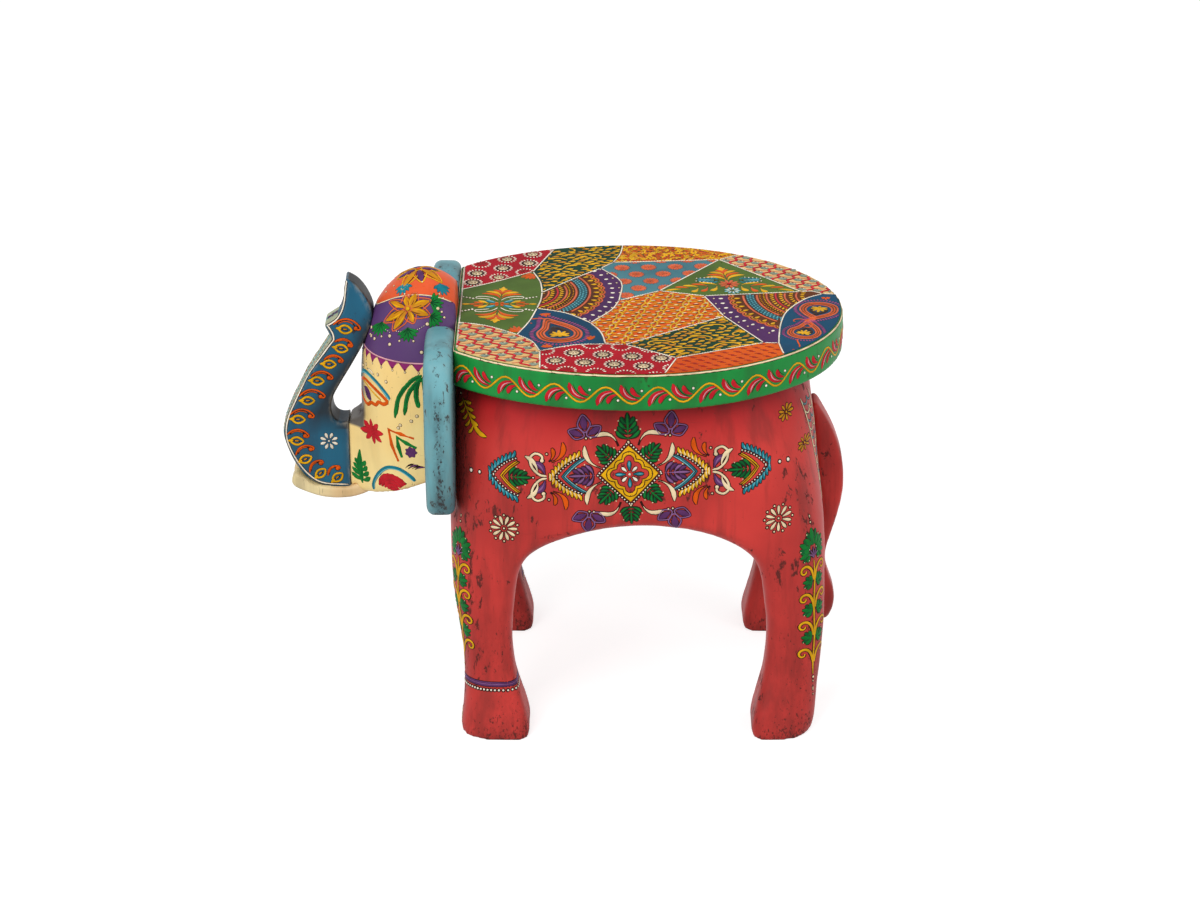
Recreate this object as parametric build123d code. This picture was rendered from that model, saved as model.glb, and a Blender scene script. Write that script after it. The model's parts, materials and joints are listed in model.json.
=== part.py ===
"""Carved elephant stool: an oval plank seat on a carved elephant, in glued and doweled wood.

Millimetres, +Z up, floor at z = 0.  The elephant faces -X, so its left side is at -Y.  Pieces are
drawn about the middle of the seat, then moved so that the origin is under the middle of the stool.
"""

import os

from build123d import *

# ---------------------------------------------------------------- driving dimensions
SEAT_TOP = 360.0  # height of the sitting face
SEAT_THICK = 34.0
SEAT_BOTTOM = SEAT_TOP - SEAT_THICK
SEAT_MIDDLE = (SEAT_TOP + SEAT_BOTTOM) / 2
SEAT_REAR = 186.0  # seat centre to its rear edge
SEAT_FRONT = 198.0  # half length of the front half's oval, before it is sawn off at the neck
SEAT_HALF_WIDTH = 150.0
SEAT_EASE = 2.5  # rounding of the seat's top and bottom edges

NECK_PLANE = -152.0  # flat across seat and torso that the head and ears are glued to
CHEST_TOP = 204.0  # the neck flat ends here, and the chest swells forward below it
LEG_JOINT = 180.0  # the legs are doweled to the torso at this height
BOARD_JOINT = 50.0  # the seat's three boards meet at y = +-50
BLOCK_JOINT = 42.0  # the torso's three blocks meet at y = +-42

# Carved skin of torso and legs: height, front x, rear x, half width and corner radius.  It goes
# from a nearly oval plan under the seat to the four-square stance of the feet.
BODY_STATIONS = [
    (0.0, -151.0, 161.0, 133.0, 30.0),
    (25.0, -148.0, 165.0, 128.0, 28.0),
    (60.0, -147.0, 168.0, 120.0, 26.0),
    (100.0, -151.0, 171.0, 118.0, 28.0),
    (140.0, -156.0, 171.0, 121.0, 36.0),
    (180.0, -158.0, 170.0, 125.0, 50.0),
    (220.0, -158.0, 166.0, 127.0, 66.0),
    (260.0, -157.5, 161.5, 126.0, 82.0),
    (295.0, -156.5, 157.5, 122.5, 95.0),
    (SEAT_BOTTOM, -156.0, 154.0, 118.0, 104.0),
]

# Arch under the belly as (x, z), from the back of the front feet to the front of the rear feet.
BELLY_ARCH = [
    (-89, 0), (-91, 15), (-100, 50), (-104, 95), (-101, 135), (-90, 172), (-62, 190),
    (8, 204), (78, 192), (106, 172), (116, 135), (120, 95), (116, 50), (108, 12), (107, 0),
]
# Arch between left and right legs as (y, z), from the left feet to the middle of its crown.
LEG_ARCH = [(-74, 0), (-76, 20), (-80, 55), (-77, 100), (-68, 150), (-45, 182), (0, 194)]
ARCH_EASE = 12.0  # rounding of the edges that the two arches leave on legs and belly

HEAD_AXIS = -181.0  # x of the upright axis that the skull is rounded about
HEAD_BROADNESS = 1.02  # the skull's width over its length
# Half outline of the skull as (reach from the axis, z), from below the jaw to the crown.
SKULL_OUTLINE = [
    (50, 182), (55, 215), (57, 260), (56.5, 300), (54.5, 325), (50, 342), (45, 356),
    (39.5, 368), (31, 380), (20, 389.5), (9, 394.8), (0, 396),
]
# Underside of the head as (x, z), from the trunk joint back to the neck.
THROAT_LINE = [(-249, 192), (-232, 193), (-215, 199), (-190, 211), (-150, 222)]
THROAT_EASE = 2.5

TRUNK_JOINT = -249.0  # plane where the trunk is doweled to the muzzle
TRUNK_WIDTH = 30.0
TRUNK_EASE = 2.5
MUZZLE_BOTTOM = 192.0
MUZZLE_TOP = 256.5
# The muzzle widens from the trunk into the face: x, bottom, top, half width and corner radius.
MUZZLE_STATIONS = [
    (TRUNK_JOINT, MUZZLE_BOTTOM, MUZZLE_TOP, TRUNK_WIDTH / 2, TRUNK_EASE),
    (-238.0, 190.0, 263.0, 23.0, 8.0),
    (-222.0, 188.0, 280.0, 38.0, 20.0),
    (-200.0, 186.0, 300.0, 46.0, 30.0),
]
# Trunk as (x, z): chin and outer bend, the nostril's lip and corner, then the tip and inner bend.
TRUNK_OUTER = [
    (TRUNK_JOINT, MUZZLE_BOTTOM), (-264, 192), (-283, 198), (-297, 214), (-305, 233),
    (-307.5, 246), (-304.5, 259), (-295, 280), (-277, 312), (-262, 336),
]
TRUNK_LIP = (-268, 348)
NOSTRIL_ROOF = [(-254, 358), (-250.5, 372), (-248, 391)]
TRUNK_INNER = [
    (-248, 391), (-239, 385), (-229, 370), (-225.5, 358), (-228.5, 344), (-241, 317),
    (-257, 290), (-264, 270), (-261, 259), (TRUNK_JOINT, MUZZLE_TOP),
]
# Half of the trunk's outline from the front as (y, z): it narrows to the tip.
TRUNK_TAPER = [(-TRUNK_WIDTH / 2, 180), (-TRUNK_WIDTH / 2, 340), (-13, 358), (-4, 394)]

TUSK_SPREAD = 12.0  # middle of the stool to the middle of a tusk
TUSK_WIDTH = 15.0
TUSK_EASE = 2.5
# Tusk as (x, z): its underside from the mouth to the blunt tip, then its top back to the root.
TUSK_OUTLINE = [
    (-224, 198), (-234, 189.5), (-246, 185), (-260, 183.5), (-276, 185), (-292, 191),
    (-301, 199), (-298, 207), (-285, 199), (-270, 195), (-248, 195), (-234, 203), (-228, 208),
]

EAR_THICK = 25.0
EAR_EASE = 7.0
EAR_ROOT = 50.0  # the slab starts this far from the middle, and is then fitted round the head
# Right ear from the front as (y, z), from where its top meets the head round to its inner edge.
EAR_OUTLINE = [
    (EAR_ROOT, 363), (70, 364), (95, 364), (115, 358), (124.5, 340), (125.5, 300), (124, 262),
    (118, 226), (104, 208), (88, 210), (72, 232), (EAR_ROOT, 262),
]

TAIL_EASE = 4.5
# Tail from the side as (x, z): back edge down to the tip of its tuft, then up the front edge.
TAIL_BACK = [
    (160, 282), (172, 262), (183, 239), (190, 210), (190.5, 188), (186, 160), (179, 134),
    (176.5, 118), (180, 102), (185.5, 84), (184, 66), (178, 53),
]
TAIL_FRONT = [
    (178, 53), (170, 62), (163, 82), (162, 102), (164.5, 120), (168, 145), (170.5, 168),
    (168, 190), (150, 215),
]
# Half of the tail's outline from behind as (y, z), from its root to the tip of the tuft.
TAIL_SPREAD = [(-15, 300), (-14, 230), (-11, 170), (-8.5, 120), (-13, 84), (-9, 62), (-3, 52)]

DOWEL_R = 5.0
EAR_DOWEL_R = 4.0
DOWEL_BEVEL = 1.0
GLUE_ROOM = 1.0  # how much deeper than its dowel each blind hole is, at either end

LEG_DOWEL = 60.0  # lengths of the dowels
SEAT_DOWEL = 44.0
BOARD_DOWEL = 40.0
BLOCK_DOWEL = 50.0
NECK_DOWEL = 56.0
TRUNK_DOWEL = 44.0
EAR_HEAD_DOWEL = 34.0
EAR_SEAT_DOWEL = 28.0
TAIL_DOWEL = 30.0

LEG_DOWEL_X = {"front": (-136.0, -114.0), "rear": (127.0, 147.0)}
LEG_DOWEL_Y = 95.0
SEAT_DOWEL_X = 85.0  # fore and aft of the seat's middle, two in each board
SEAT_DOWEL_Y = 80.0
BOARD_DOWEL_X = 110.0
BLOCK_DOWEL_X = 70.0
BLOCK_DOWEL_Z = 262.0
NECK_DOWEL_Y = 24.0
NECK_DOWEL_Z = 270.0
TRUNK_DOWEL_Z = 224.0
EAR_DOWEL_ZS = (285.0, 318.0)  # two into the head
EAR_DOWEL_ROOT = 57.0  # y where these two cross from ear to head
EAR_SEAT_DOWEL_Y = 76.0  # one into the seat's front flat
TAIL_DOWEL_Z = 244.0
TAIL_DOWEL_X = 160.0

OVER = 500.0  # more than the stool's length, for saw cuts that go right through
HAIR = 1.0  # edges within this of a plane count as lying on it
CROWN_TANGENTS = [(0.1, 1), (-1, 0)]  # directions (x, z) of the skull's outline at jaw and crown
TIP_TANGENTS = [(0, 1), (0, -1)]  # directions (y, z) of the trunk's taper on either side of its tip


# ---------------------------------------------------------------- drawing helpers
def mirrored(half):
    """A left-hand outline of (y, z) points, followed by its mirror image."""
    return half + [(-y, z) for y, z in reversed(half) if y != 0]


def side_slab(edges, width):
    """A slab of that width about y = 0, sawn to an outline drawn as (x, z)."""
    return extrude(Plane.XZ * make_face(edges), amount=width / 2, both=True)


def front_slab(edges):
    """A slab that is longer than the stool, sawn to an outline drawn as (y, z)."""
    return extrude(Plane.YZ * make_face(edges), amount=OVER, both=True)


def block(low, high):
    """A box between two corners."""
    size = [b - a for a, b in zip(low, high)]
    middle = [(a + b) / 2 for a, b in zip(low, high)]
    return Pos(*middle) * Box(*size)


def strip(shape, low, high):
    """The part of a shape between two upright planes y = low and y = high."""
    return shape & block((-OVER, low, -OVER), (OVER, high, OVER))


def dowel(place, radius=DOWEL_R):
    """A dowel with bevelled ends, where place is its middle, direction and length."""
    middle, direction, length = place
    pin = Cylinder(radius, length)
    pin = chamfer(pin.edges().filter_by(GeomType.CIRCLE), DOWEL_BEVEL)
    return Plane(origin=middle, z_dir=direction) * pin


def drilled(shape, places, radius=DOWEL_R):
    """A shape with the holes for those dowels."""
    for middle, direction, length in places:
        hole = Cylinder(radius, length + 2 * GLUE_ROOM)
        shape -= Plane(origin=middle, z_dir=direction) * hole
    return shape


def pair(name, piece):
    """A right-hand piece and its mirror image on the left, by name.  A piece may be a list."""
    if isinstance(piece, list):
        left = [mirror(solid, about=Plane.XZ) for solid in piece]
    else:
        left = mirror(piece, about=Plane.XZ)
    return {f"{name}_left": left, f"{name}_right": piece}


# ---------------------------------------------------------------- carved and sawn shapes
def seat_slab():
    """The whole seat before it is parted into boards."""
    rear = Ellipse(SEAT_REAR, SEAT_HALF_WIDTH) & (Pos(OVER / 2, 0) * Rectangle(OVER, OVER))
    sawn = Pos(NECK_PLANE / 2, 0) * Rectangle(-NECK_PLANE, OVER)
    front = Ellipse(SEAT_FRONT, SEAT_HALF_WIDTH) & sawn
    slab = Pos(0, 0, SEAT_BOTTOM) * extrude(rear + front, SEAT_THICK)
    rims = slab.edges().filter_by(Plane.XY)
    return fillet(rims.filter_by_position(Axis.X, NECK_PLANE + HAIR, OVER), SEAT_EASE)


def carved_body():
    """Torso and legs in one: the carved skin with both arches sawn out and the neck sawn flat."""
    plans = []
    for height, front, rear, half, radius in BODY_STATIONS:
        plan = RectangleRounded(rear - front, 2 * half, radius)
        plans.append(Pos((front + rear) / 2, 0, height) * plan)
    belly = side_slab([Spline(*BELLY_ARCH), Line(BELLY_ARCH[-1], BELLY_ARCH[0])], OVER)
    leg_line = mirrored(LEG_ARCH)
    between_legs = front_slab([Spline(*leg_line), Line(leg_line[-1], leg_line[0])])
    body = loft(plans) - belly - between_legs
    sawn_edges = body.edges().filter_by_position(Axis.Z, HAIR, CHEST_TOP + ARCH_EASE)
    body = fillet(sawn_edges, ARCH_EASE)
    return body - block((-OVER, -OVER, CHEST_TOP), (NECK_PLANE, OVER, OVER))


def skull():
    """The rounded head, turned about its upright axis and broadened a little."""
    crown, jaw = SKULL_OUTLINE[-1], SKULL_OUTLINE[0]
    foot = (crown[0], jaw[1])
    edge = Spline(*SKULL_OUTLINE, tangents=CROWN_TANGENTS)
    half = make_face([edge, Line(crown, foot), Line(foot, jaw)])
    turned = revolve(Plane.XZ * half, Axis.Z)
    return Pos(HEAD_AXIS, 0, 0) * scale(turned, by=(1, HEAD_BROADNESS, 1))


def muzzle():
    """The snout that widens from the trunk joint into the face."""
    sections = []
    for x, low, high, half, radius in MUZZLE_STATIONS:
        section = RectangleRounded(2 * half, high - low, radius)
        sections.append(Plane.YZ.offset(x) * Pos(0, (low + high) / 2) * section)
    return loft(sections)


def carved_head():
    """Skull and muzzle in one block, sawn off under the throat and at the neck."""
    chin, nape = THROAT_LINE[0], THROAT_LINE[-1]
    corners = [nape, (nape[0], 0), (-OVER, 0), (-OVER, chin[1]), chin]
    waste = side_slab([Spline(*THROAT_LINE), Polyline(*corners)], OVER)
    carved = skull() + muzzle() - waste
    throat = carved.edges().filter_by_position(Axis.Z, chin[1], nape[1] + THROAT_EASE)
    throat = throat.filter_by_position(Axis.X, TRUNK_JOINT + HAIR, OVER)
    carved = fillet(throat, THROAT_EASE)
    return carved - block((NECK_PLANE, -OVER, 0), (OVER, OVER, OVER))


def sawn_trunk():
    """The raised trunk, sawn from a plank and narrowed to its tip, with the nostril open."""
    outline = [
        Spline(*TRUNK_OUTER),
        Polyline(TRUNK_OUTER[-1], TRUNK_LIP, NOSTRIL_ROOF[0]),
        Spline(*NOSTRIL_ROOF),
        Spline(*TRUNK_INNER),
        Line(TRUNK_INNER[-1], TRUNK_OUTER[0]),
    ]
    sides = mirrored(TRUNK_TAPER)
    tip = Spline(*sides[1:-1], tangents=TIP_TANGENTS)
    taper = front_slab([Line(sides[0], sides[1]), tip, Polyline(sides[-2], sides[-1], sides[0])])
    trunk = side_slab(outline, 2 * TRUNK_WIDTH) & taper
    long_edges = [e for e in trunk.edges() if abs(e.center().X - TRUNK_JOINT) > HAIR]
    return fillet([e for e in long_edges if abs(e.center().Y) > HAIR], TRUNK_EASE)


def ear_slab():
    """Right ear, a thick slab with rounded edges, before it is fitted to the head."""
    edges = [Spline(*EAR_OUTLINE), Line(EAR_OUTLINE[-1], EAR_OUTLINE[0])]
    slab = extrude(Plane.YZ.offset(NECK_PLANE) * make_face(edges), -EAR_THICK)
    rims = slab.edges().filter_by_position(Axis.Y, EAR_ROOT + HAIR, OVER)
    return fillet(rims, EAR_EASE)


def tusk():
    """Right tusk with the root that goes into the mouth."""
    edges = [Spline(*TUSK_OUTLINE), Line(TUSK_OUTLINE[-1], TUSK_OUTLINE[0])]
    slab = side_slab(edges, TUSK_WIDTH)
    rims = [e for e in slab.edges() if abs(e.center().Y) > HAIR]
    return Pos(0, TUSK_SPREAD, 0) * fillet(rims, TUSK_EASE)


def carved_tail():
    """Tail and tuft, sawn to an outline from the side and another from behind."""
    root = Line(TAIL_FRONT[-1], TAIL_BACK[0])
    side = side_slab([Spline(*TAIL_BACK), Spline(*TAIL_FRONT), root], OVER)
    outline = mirrored(TAIL_SPREAD)
    rear = front_slab([Spline(*outline), Line(outline[-1], outline[0])])
    tail = side & rear
    return fillet(tail.edges(), TAIL_EASE)


# ---------------------------------------------------------------- joinery
UP, ACROSS, ALONG = (0, 0, 1), (0, 1, 0), (1, 0, 0)
BOTH = (-1, 1)  # left and right, or fore and aft

SEAT_DOWELS = [
    ((end * SEAT_DOWEL_X, y, SEAT_BOTTOM), UP, SEAT_DOWEL)
    for end in BOTH
    for y in (-SEAT_DOWEL_Y, 0.0, SEAT_DOWEL_Y)
]
BOARD_DOWELS = [
    ((end * BOARD_DOWEL_X, side * BOARD_JOINT, SEAT_MIDDLE), ACROSS, BOARD_DOWEL)
    for end in BOTH
    for side in BOTH
]
BLOCK_DOWELS = [
    ((end * BLOCK_DOWEL_X, side * BLOCK_JOINT, BLOCK_DOWEL_Z), ACROSS, BLOCK_DOWEL)
    for end in BOTH
    for side in BOTH
]
NECK_DOWELS = [
    ((NECK_PLANE, -NECK_DOWEL_Y, NECK_DOWEL_Z), ALONG, NECK_DOWEL),
    ((NECK_PLANE, NECK_DOWEL_Y, NECK_DOWEL_Z), ALONG, NECK_DOWEL),
    ((NECK_PLANE, 0.0, SEAT_MIDDLE), ALONG, NECK_DOWEL),
]
TRUNK_DOWELS = [((TRUNK_JOINT, 0.0, TRUNK_DOWEL_Z), ALONG, TRUNK_DOWEL)]
TAIL_DOWELS = [((TAIL_DOWEL_X, 0.0, TAIL_DOWEL_Z), ALONG, TAIL_DOWEL)]
EAR_TO_HEAD_DOWELS = [
    ((NECK_PLANE - EAR_THICK / 2, side * EAR_DOWEL_ROOT, z), ACROSS, EAR_HEAD_DOWEL)
    for side in BOTH
    for z in EAR_DOWEL_ZS
]
EAR_TO_SEAT_DOWELS = [
    ((NECK_PLANE, side * EAR_SEAT_DOWEL_Y, SEAT_MIDDLE), ALONG, EAR_SEAT_DOWEL) for side in BOTH
]


def dowels(places, radius=DOWEL_R):
    """The dowels of a list of places, as one group."""
    return [dowel(place, radius) for place in places]


def leg_dowels(end):
    """Places of the two dowels of the right leg at that end."""
    return [((x, LEG_DOWEL_Y, LEG_JOINT), UP, LEG_DOWEL) for x in LEG_DOWEL_X[end]]


# ---------------------------------------------------------------- pieces
def seat_pieces():
    """The three seat boards and the dowels in them."""
    slab = seat_slab()
    places = SEAT_DOWELS + BOARD_DOWELS
    centre = drilled(strip(slab, -BOARD_JOINT, BOARD_JOINT), places + NECK_DOWELS)
    right = drilled(strip(slab, BOARD_JOINT, OVER), places)
    return {
        "seat_board_centre": centre,
        "seat_edge_dowels": dowels(BOARD_DOWELS),
        "seat_dowels": dowels(SEAT_DOWELS),
        **pair("seat_board", drilled(right, EAR_TO_SEAT_DOWELS, EAR_DOWEL_R)),
    }


def body_pieces():
    """The three torso blocks, the four legs and the dowels that join them."""
    body = carved_body()
    torso = body & block((-OVER, -OVER, LEG_JOINT), (OVER, OVER, OVER))
    places = SEAT_DOWELS + BLOCK_DOWELS
    centre = strip(torso, -BLOCK_JOINT, BLOCK_JOINT)
    right = strip(torso, BLOCK_JOINT, OVER)
    leg_places = leg_dowels("front") + leg_dowels("rear")
    pieces = {
        "torso_centre": drilled(centre, places + NECK_DOWELS + TAIL_DOWELS),
        "torso_dowels": dowels(BLOCK_DOWELS),
        **pair("torso", drilled(right, places + leg_places)),
    }
    spans = {"front": (-OVER, 0), "rear": (0, OVER)}
    for end, (low, high) in spans.items():
        leg = body & block((low, 0, -OVER), (high, OVER, LEG_JOINT))
        pieces |= pair(f"leg_{end}", drilled(leg, leg_dowels(end)))
        pieces |= pair(f"leg_dowels_{end}", dowels(leg_dowels(end)))
    return pieces


def head_pieces():
    """Head, trunk, tusks and ears with their dowels, each fitted to the piece that carries it."""
    trunk = sawn_trunk()
    right_tusk = tusk() - trunk
    head = carved_head() - trunk - right_tusk - mirror(right_tusk, about=Plane.XZ)
    ear = ear_slab() - head
    head = drilled(head, NECK_DOWELS + TRUNK_DOWELS)
    ear_places = EAR_TO_HEAD_DOWELS + EAR_TO_SEAT_DOWELS
    right_places = [place for place in ear_places if place[0][1] > 0]
    return {
        "head": drilled(head, EAR_TO_HEAD_DOWELS, EAR_DOWEL_R),
        "trunk": drilled(trunk, TRUNK_DOWELS),
        "neck_dowels": dowels(NECK_DOWELS),
        "trunk_dowel": dowels(TRUNK_DOWELS),
        **pair("tusk", right_tusk),
        **pair("ear", drilled(ear, right_places, EAR_DOWEL_R)),
        **pair("ear_dowels", dowels(right_places, EAR_DOWEL_R)),
    }


def tail_pieces(torso):
    """The tail, fitted against the rump, and its dowel."""
    return {
        "tail": drilled(carved_tail() - torso, TAIL_DOWELS),
        "tail_dowel": dowels(TAIL_DOWELS),
    }


def all_pieces():
    """Every piece of the stool by name, as lists of solids in the finished stool's frame."""
    pieces = seat_pieces() | body_pieces() | head_pieces()
    pieces |= tail_pieces(pieces["torso_centre"])
    solids = {
        name: piece if isinstance(piece, list) else list(piece.solids())
        for name, piece in pieces.items()
    }
    nose = min(solid.bounding_box().min.X for solid in solids["trunk"])
    tail_end = max(solid.bounding_box().max.X for solid in solids["tail"])
    to_middle = Pos(-(nose + tail_end) / 2, 0, 0)
    return {name: [to_middle * solid for solid in group] for name, group in solids.items()}


os.makedirs("parts", exist_ok=True)
for name, group in all_pieces().items():
    export_step(Compound(children=group) if len(group) > 1 else group[0], f"parts/{name}.step")
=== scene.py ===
"""Looks of the carved and painted elephant stool, dressed over its wooden frame."""

import cmath
import json
import logging
import math
import random
from dataclasses import dataclass, field
from enum import Enum
from typing import Any, Callable, Iterable, Sequence

import bmesh
import bpy
import numpy as np
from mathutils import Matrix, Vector, noise

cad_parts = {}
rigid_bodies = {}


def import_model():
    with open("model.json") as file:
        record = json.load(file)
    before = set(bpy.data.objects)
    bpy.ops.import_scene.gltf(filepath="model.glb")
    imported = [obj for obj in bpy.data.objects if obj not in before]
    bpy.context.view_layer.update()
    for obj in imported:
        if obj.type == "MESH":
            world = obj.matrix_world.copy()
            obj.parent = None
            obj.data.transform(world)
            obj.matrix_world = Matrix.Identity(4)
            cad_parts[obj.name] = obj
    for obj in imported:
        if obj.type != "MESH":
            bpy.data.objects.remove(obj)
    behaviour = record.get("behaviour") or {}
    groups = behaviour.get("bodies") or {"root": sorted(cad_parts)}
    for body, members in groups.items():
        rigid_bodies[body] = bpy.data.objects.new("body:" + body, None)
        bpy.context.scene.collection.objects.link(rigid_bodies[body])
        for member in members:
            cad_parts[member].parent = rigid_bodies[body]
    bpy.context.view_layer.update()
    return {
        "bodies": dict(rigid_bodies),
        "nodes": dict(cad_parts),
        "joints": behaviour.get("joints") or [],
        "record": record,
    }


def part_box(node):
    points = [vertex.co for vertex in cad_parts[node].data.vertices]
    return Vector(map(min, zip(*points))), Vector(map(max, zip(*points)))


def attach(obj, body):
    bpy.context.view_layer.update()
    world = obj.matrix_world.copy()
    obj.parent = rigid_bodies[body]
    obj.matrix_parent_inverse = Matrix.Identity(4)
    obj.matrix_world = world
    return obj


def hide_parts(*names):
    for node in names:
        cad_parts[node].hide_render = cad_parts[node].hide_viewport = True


LOG = logging.getLogger("elephant_stool")
BODY = "root"
MM = 0.001
ORIGIN_X = 58.366  # the seat's middle, in millimetres behind the stool's
Colour = tuple[float, float, float, float]
Place = tuple[float, float, float]
Piece = bpy.types.Object
Socket = bpy.types.NodeSocket


def srgb(*levels: int) -> Colour:
    """Turns a colour as it is seen on a screen into the linear one that shaders take.

    Args:
        levels: Red, green and blue from 0 to 255.

    Returns:
        Linear red, green and blue with an alpha of 1.
    """
    parts = [level / 255 for level in levels]
    return (*(part / 12.92 if part <= 0.04045 else ((part + 0.055) / 1.055) ** 2.4 for part in parts), 1.0)


def toned(colour: Colour, share: float) -> Colour:
    """Makes a colour darker or lighter by a share, up to full brightness."""
    return (*(min(1.0, level * share) for level in colour[:3]), 1.0)


# ---------------------------------------------------------------- node trees


class Tree:
    """A node tree while it is wired, for shaders and for geometry alike."""

    def __init__(self, tree: bpy.types.NodeTree) -> None:
        """Wraps a tree."""
        self.tree = tree

    def put(self, place: Socket, value: Any) -> None:
        """Wires an output into an input, or sets the input to a plain value."""
        if isinstance(value, Socket):
            self.tree.links.new(value, place)
        else:
            place.default_value = value

    def add(self, kind: str, inputs: dict[Any, Any] | None = None, **settings: Any) -> bpy.types.Node:
        """Adds a node and wires or sets its inputs.

        Args:
            kind: Blender's name of the node's type.
            inputs: Value or output socket for each input, by name or number.
            settings: Properties of the node itself.

        Returns:
            The new node.
        """
        node = self.tree.nodes.new(kind)
        for name, value in settings.items():
            setattr(node, name, value)
        for name, value in (inputs or {}).items():
            self.put(node.inputs[name], value)
        return node

    def get(self, kind: str, inputs: dict[Any, Any] | None = None, **settings: Any) -> Socket:
        """Adds a node and returns its first output."""
        return self.add(kind, inputs, **settings).outputs[0]

    def math(self, operation: str, first: Any, second: Any = 0.0, clamp: bool = False) -> Socket:
        """Adds a sum of two numbers and returns its result."""
        return self.get("ShaderNodeMath", {0: first, 1: second}, operation=operation, use_clamp=clamp)

    def times(self, first: Any, second: Any) -> Socket:
        """Multiplies two numbers."""
        return self.math("MULTIPLY", first, second)

    def plus(self, first: Any, second: Any) -> Socket:
        """Adds two numbers."""
        return self.math("ADD", first, second)

    def minus(self, first: Any, second: Any, clamp: bool = False) -> Socket:
        """Takes the second number from the first."""
        return self.math("SUBTRACT", first, second, clamp)

    def most(self, first: Any, second: Any, clamp: bool = False) -> Socket:
        """Returns the larger of two numbers."""
        return self.math("MAXIMUM", first, second, clamp)


class ShaderTree(Tree):
    """Shader nodes with the few combinations that every finish here needs."""

    def mix(self, share: Any, under: Any, over: Any) -> Socket:
        """Blends two colours: share 0 gives under, 1 gives over."""
        return self.add("ShaderNodeMix", {0: share, 6: under, 7: over}, data_type="RGBA").outputs[2]

    def noise(
        self, at: Any, scale: float, detail: float = 4.0, rough: float = 0.55, warp: float = 0.0
    ) -> Socket:
        """Adds cloudy noise and returns its value."""
        inputs = {"Vector": at, "Scale": scale, "Detail": detail, "Roughness": rough, "Distortion": warp}
        return self.get("ShaderNodeTexNoise", inputs)

    def step(self, value: Any, low: Any, high: Any) -> Socket:
        """Turns a value into a mask: 0 below low, 1 above high, smooth between."""
        inputs = {0: value, 1: low, 2: high, 3: 0.0, 4: 1.0}
        return self.get("ShaderNodeMapRange", inputs, interpolation_type="SMOOTHSTEP")

    def stretched(self, at: Any, scale: Place, turn: Place = (0, 0, 0)) -> Socket:
        """Turns and stretches a vector."""
        return self.get("ShaderNodeMapping", {"Vector": at, "Scale": scale, "Rotation": turn})

    def attribute(self, name: str) -> Socket:
        """Returns a number stored on the surface."""
        return self.add("ShaderNodeAttribute", attribute_name=name).outputs["Fac"]

    def axes(self, vector: Any) -> Any:
        """Splits a vector into x, y and z."""
        return self.add("ShaderNodeSeparateXYZ", {0: vector}).outputs


class PaintTree(Tree):
    """Geometry nodes that lay paint on a surface."""

    def named(self, name: str, kind: str = "FLOAT") -> Socket:
        """Reads a value stored on the points."""
        return self.get("GeometryNodeInputNamedAttribute", {"Name": name}, data_type=kind)

    def stored(self, points: Socket, name: str, value: Any, kind: str = "FLOAT") -> Socket:
        """Stores a value on the points and returns them."""
        inputs = {"Geometry": points, "Name": name, "Value": value}
        return self.get("GeometryNodeStoreNamedAttribute", inputs, data_type=kind)

    def domed(self, points: Socket, axis: int) -> tuple[Socket, Any]:
        """Stores how high each point of a profile stands, and returns points and coordinates."""
        place = self.add("ShaderNodeSeparateXYZ", {0: self.get("GeometryNodeInputPosition")}).outputs
        return self.stored(points, "dome", place[axis]), place

    def raised(self, points: Socket, normal: Socket, rise: Socket) -> Socket:
        """Moves points along their normal."""
        offset = self.get("ShaderNodeVectorMath", {0: normal, "Scale": rise}, operation="SCALE")
        return self.get("GeometryNodeSetPosition", {"Geometry": points, "Offset": offset})

    def landed(self, points: Socket, surface: Socket) -> tuple[Socket, Socket]:
        """Moves points along their aim onto a surface and drops those that miss it.

        Args:
            points: Points with a stored aim.
            surface: Object to hit.

        Returns:
            The moved points and the surface's normal at each.
        """
        target = self.add("GeometryNodeObjectInfo", {"Object": surface}, transform_space="ORIGINAL")
        target, aim = target.outputs["Geometry"], self.named("aim", "FLOAT_VECTOR")
        inputs = {"Target Geometry": target, "Ray Direction": aim, "Ray Length": 1.0}
        ray = self.add("GeometryNodeRaycast", inputs).outputs
        missed = self.get("FunctionNodeBooleanMath", {0: ray["Is Hit"]}, operation="NOT")
        points = self.stored(points, "hit_normal", ray["Hit Normal"], "FLOAT_VECTOR")
        points = self.stored(points, "missed", missed, "BOOLEAN")
        points = self.get("GeometryNodeSetPosition", {"Geometry": points, "Position": ray["Hit Position"]})
        lost = {"Geometry": points, "Selection": self.named("missed", "BOOLEAN")}
        points = self.get("GeometryNodeDeleteGeometry", lost, domain="POINT")
        return points, self.named("hit_normal", "FLOAT_VECTOR")

    def height(self, given: Any) -> Socket:
        """Gives how tall the paint stands: a share of its half width, up to the tallest."""
        tall = self.times(self.named("half_width"), given["Crown"])
        return self.math("MINIMUM", tall, given["Tallest"])

    def finish(self, shape: Socket, paint: Socket, made: Any) -> None:
        """Ends the tree: real instances, smooth shading and the material."""
        solid = self.get("GeometryNodeRealizeInstances", {0: shape})
        smooth = self.get("GeometryNodeSetShadeSmooth", {"Geometry": solid, "Shade Smooth": True})
        self.put(made[0], self.get("GeometryNodeSetMaterial", {"Geometry": smooth, "Material": paint}))


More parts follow.
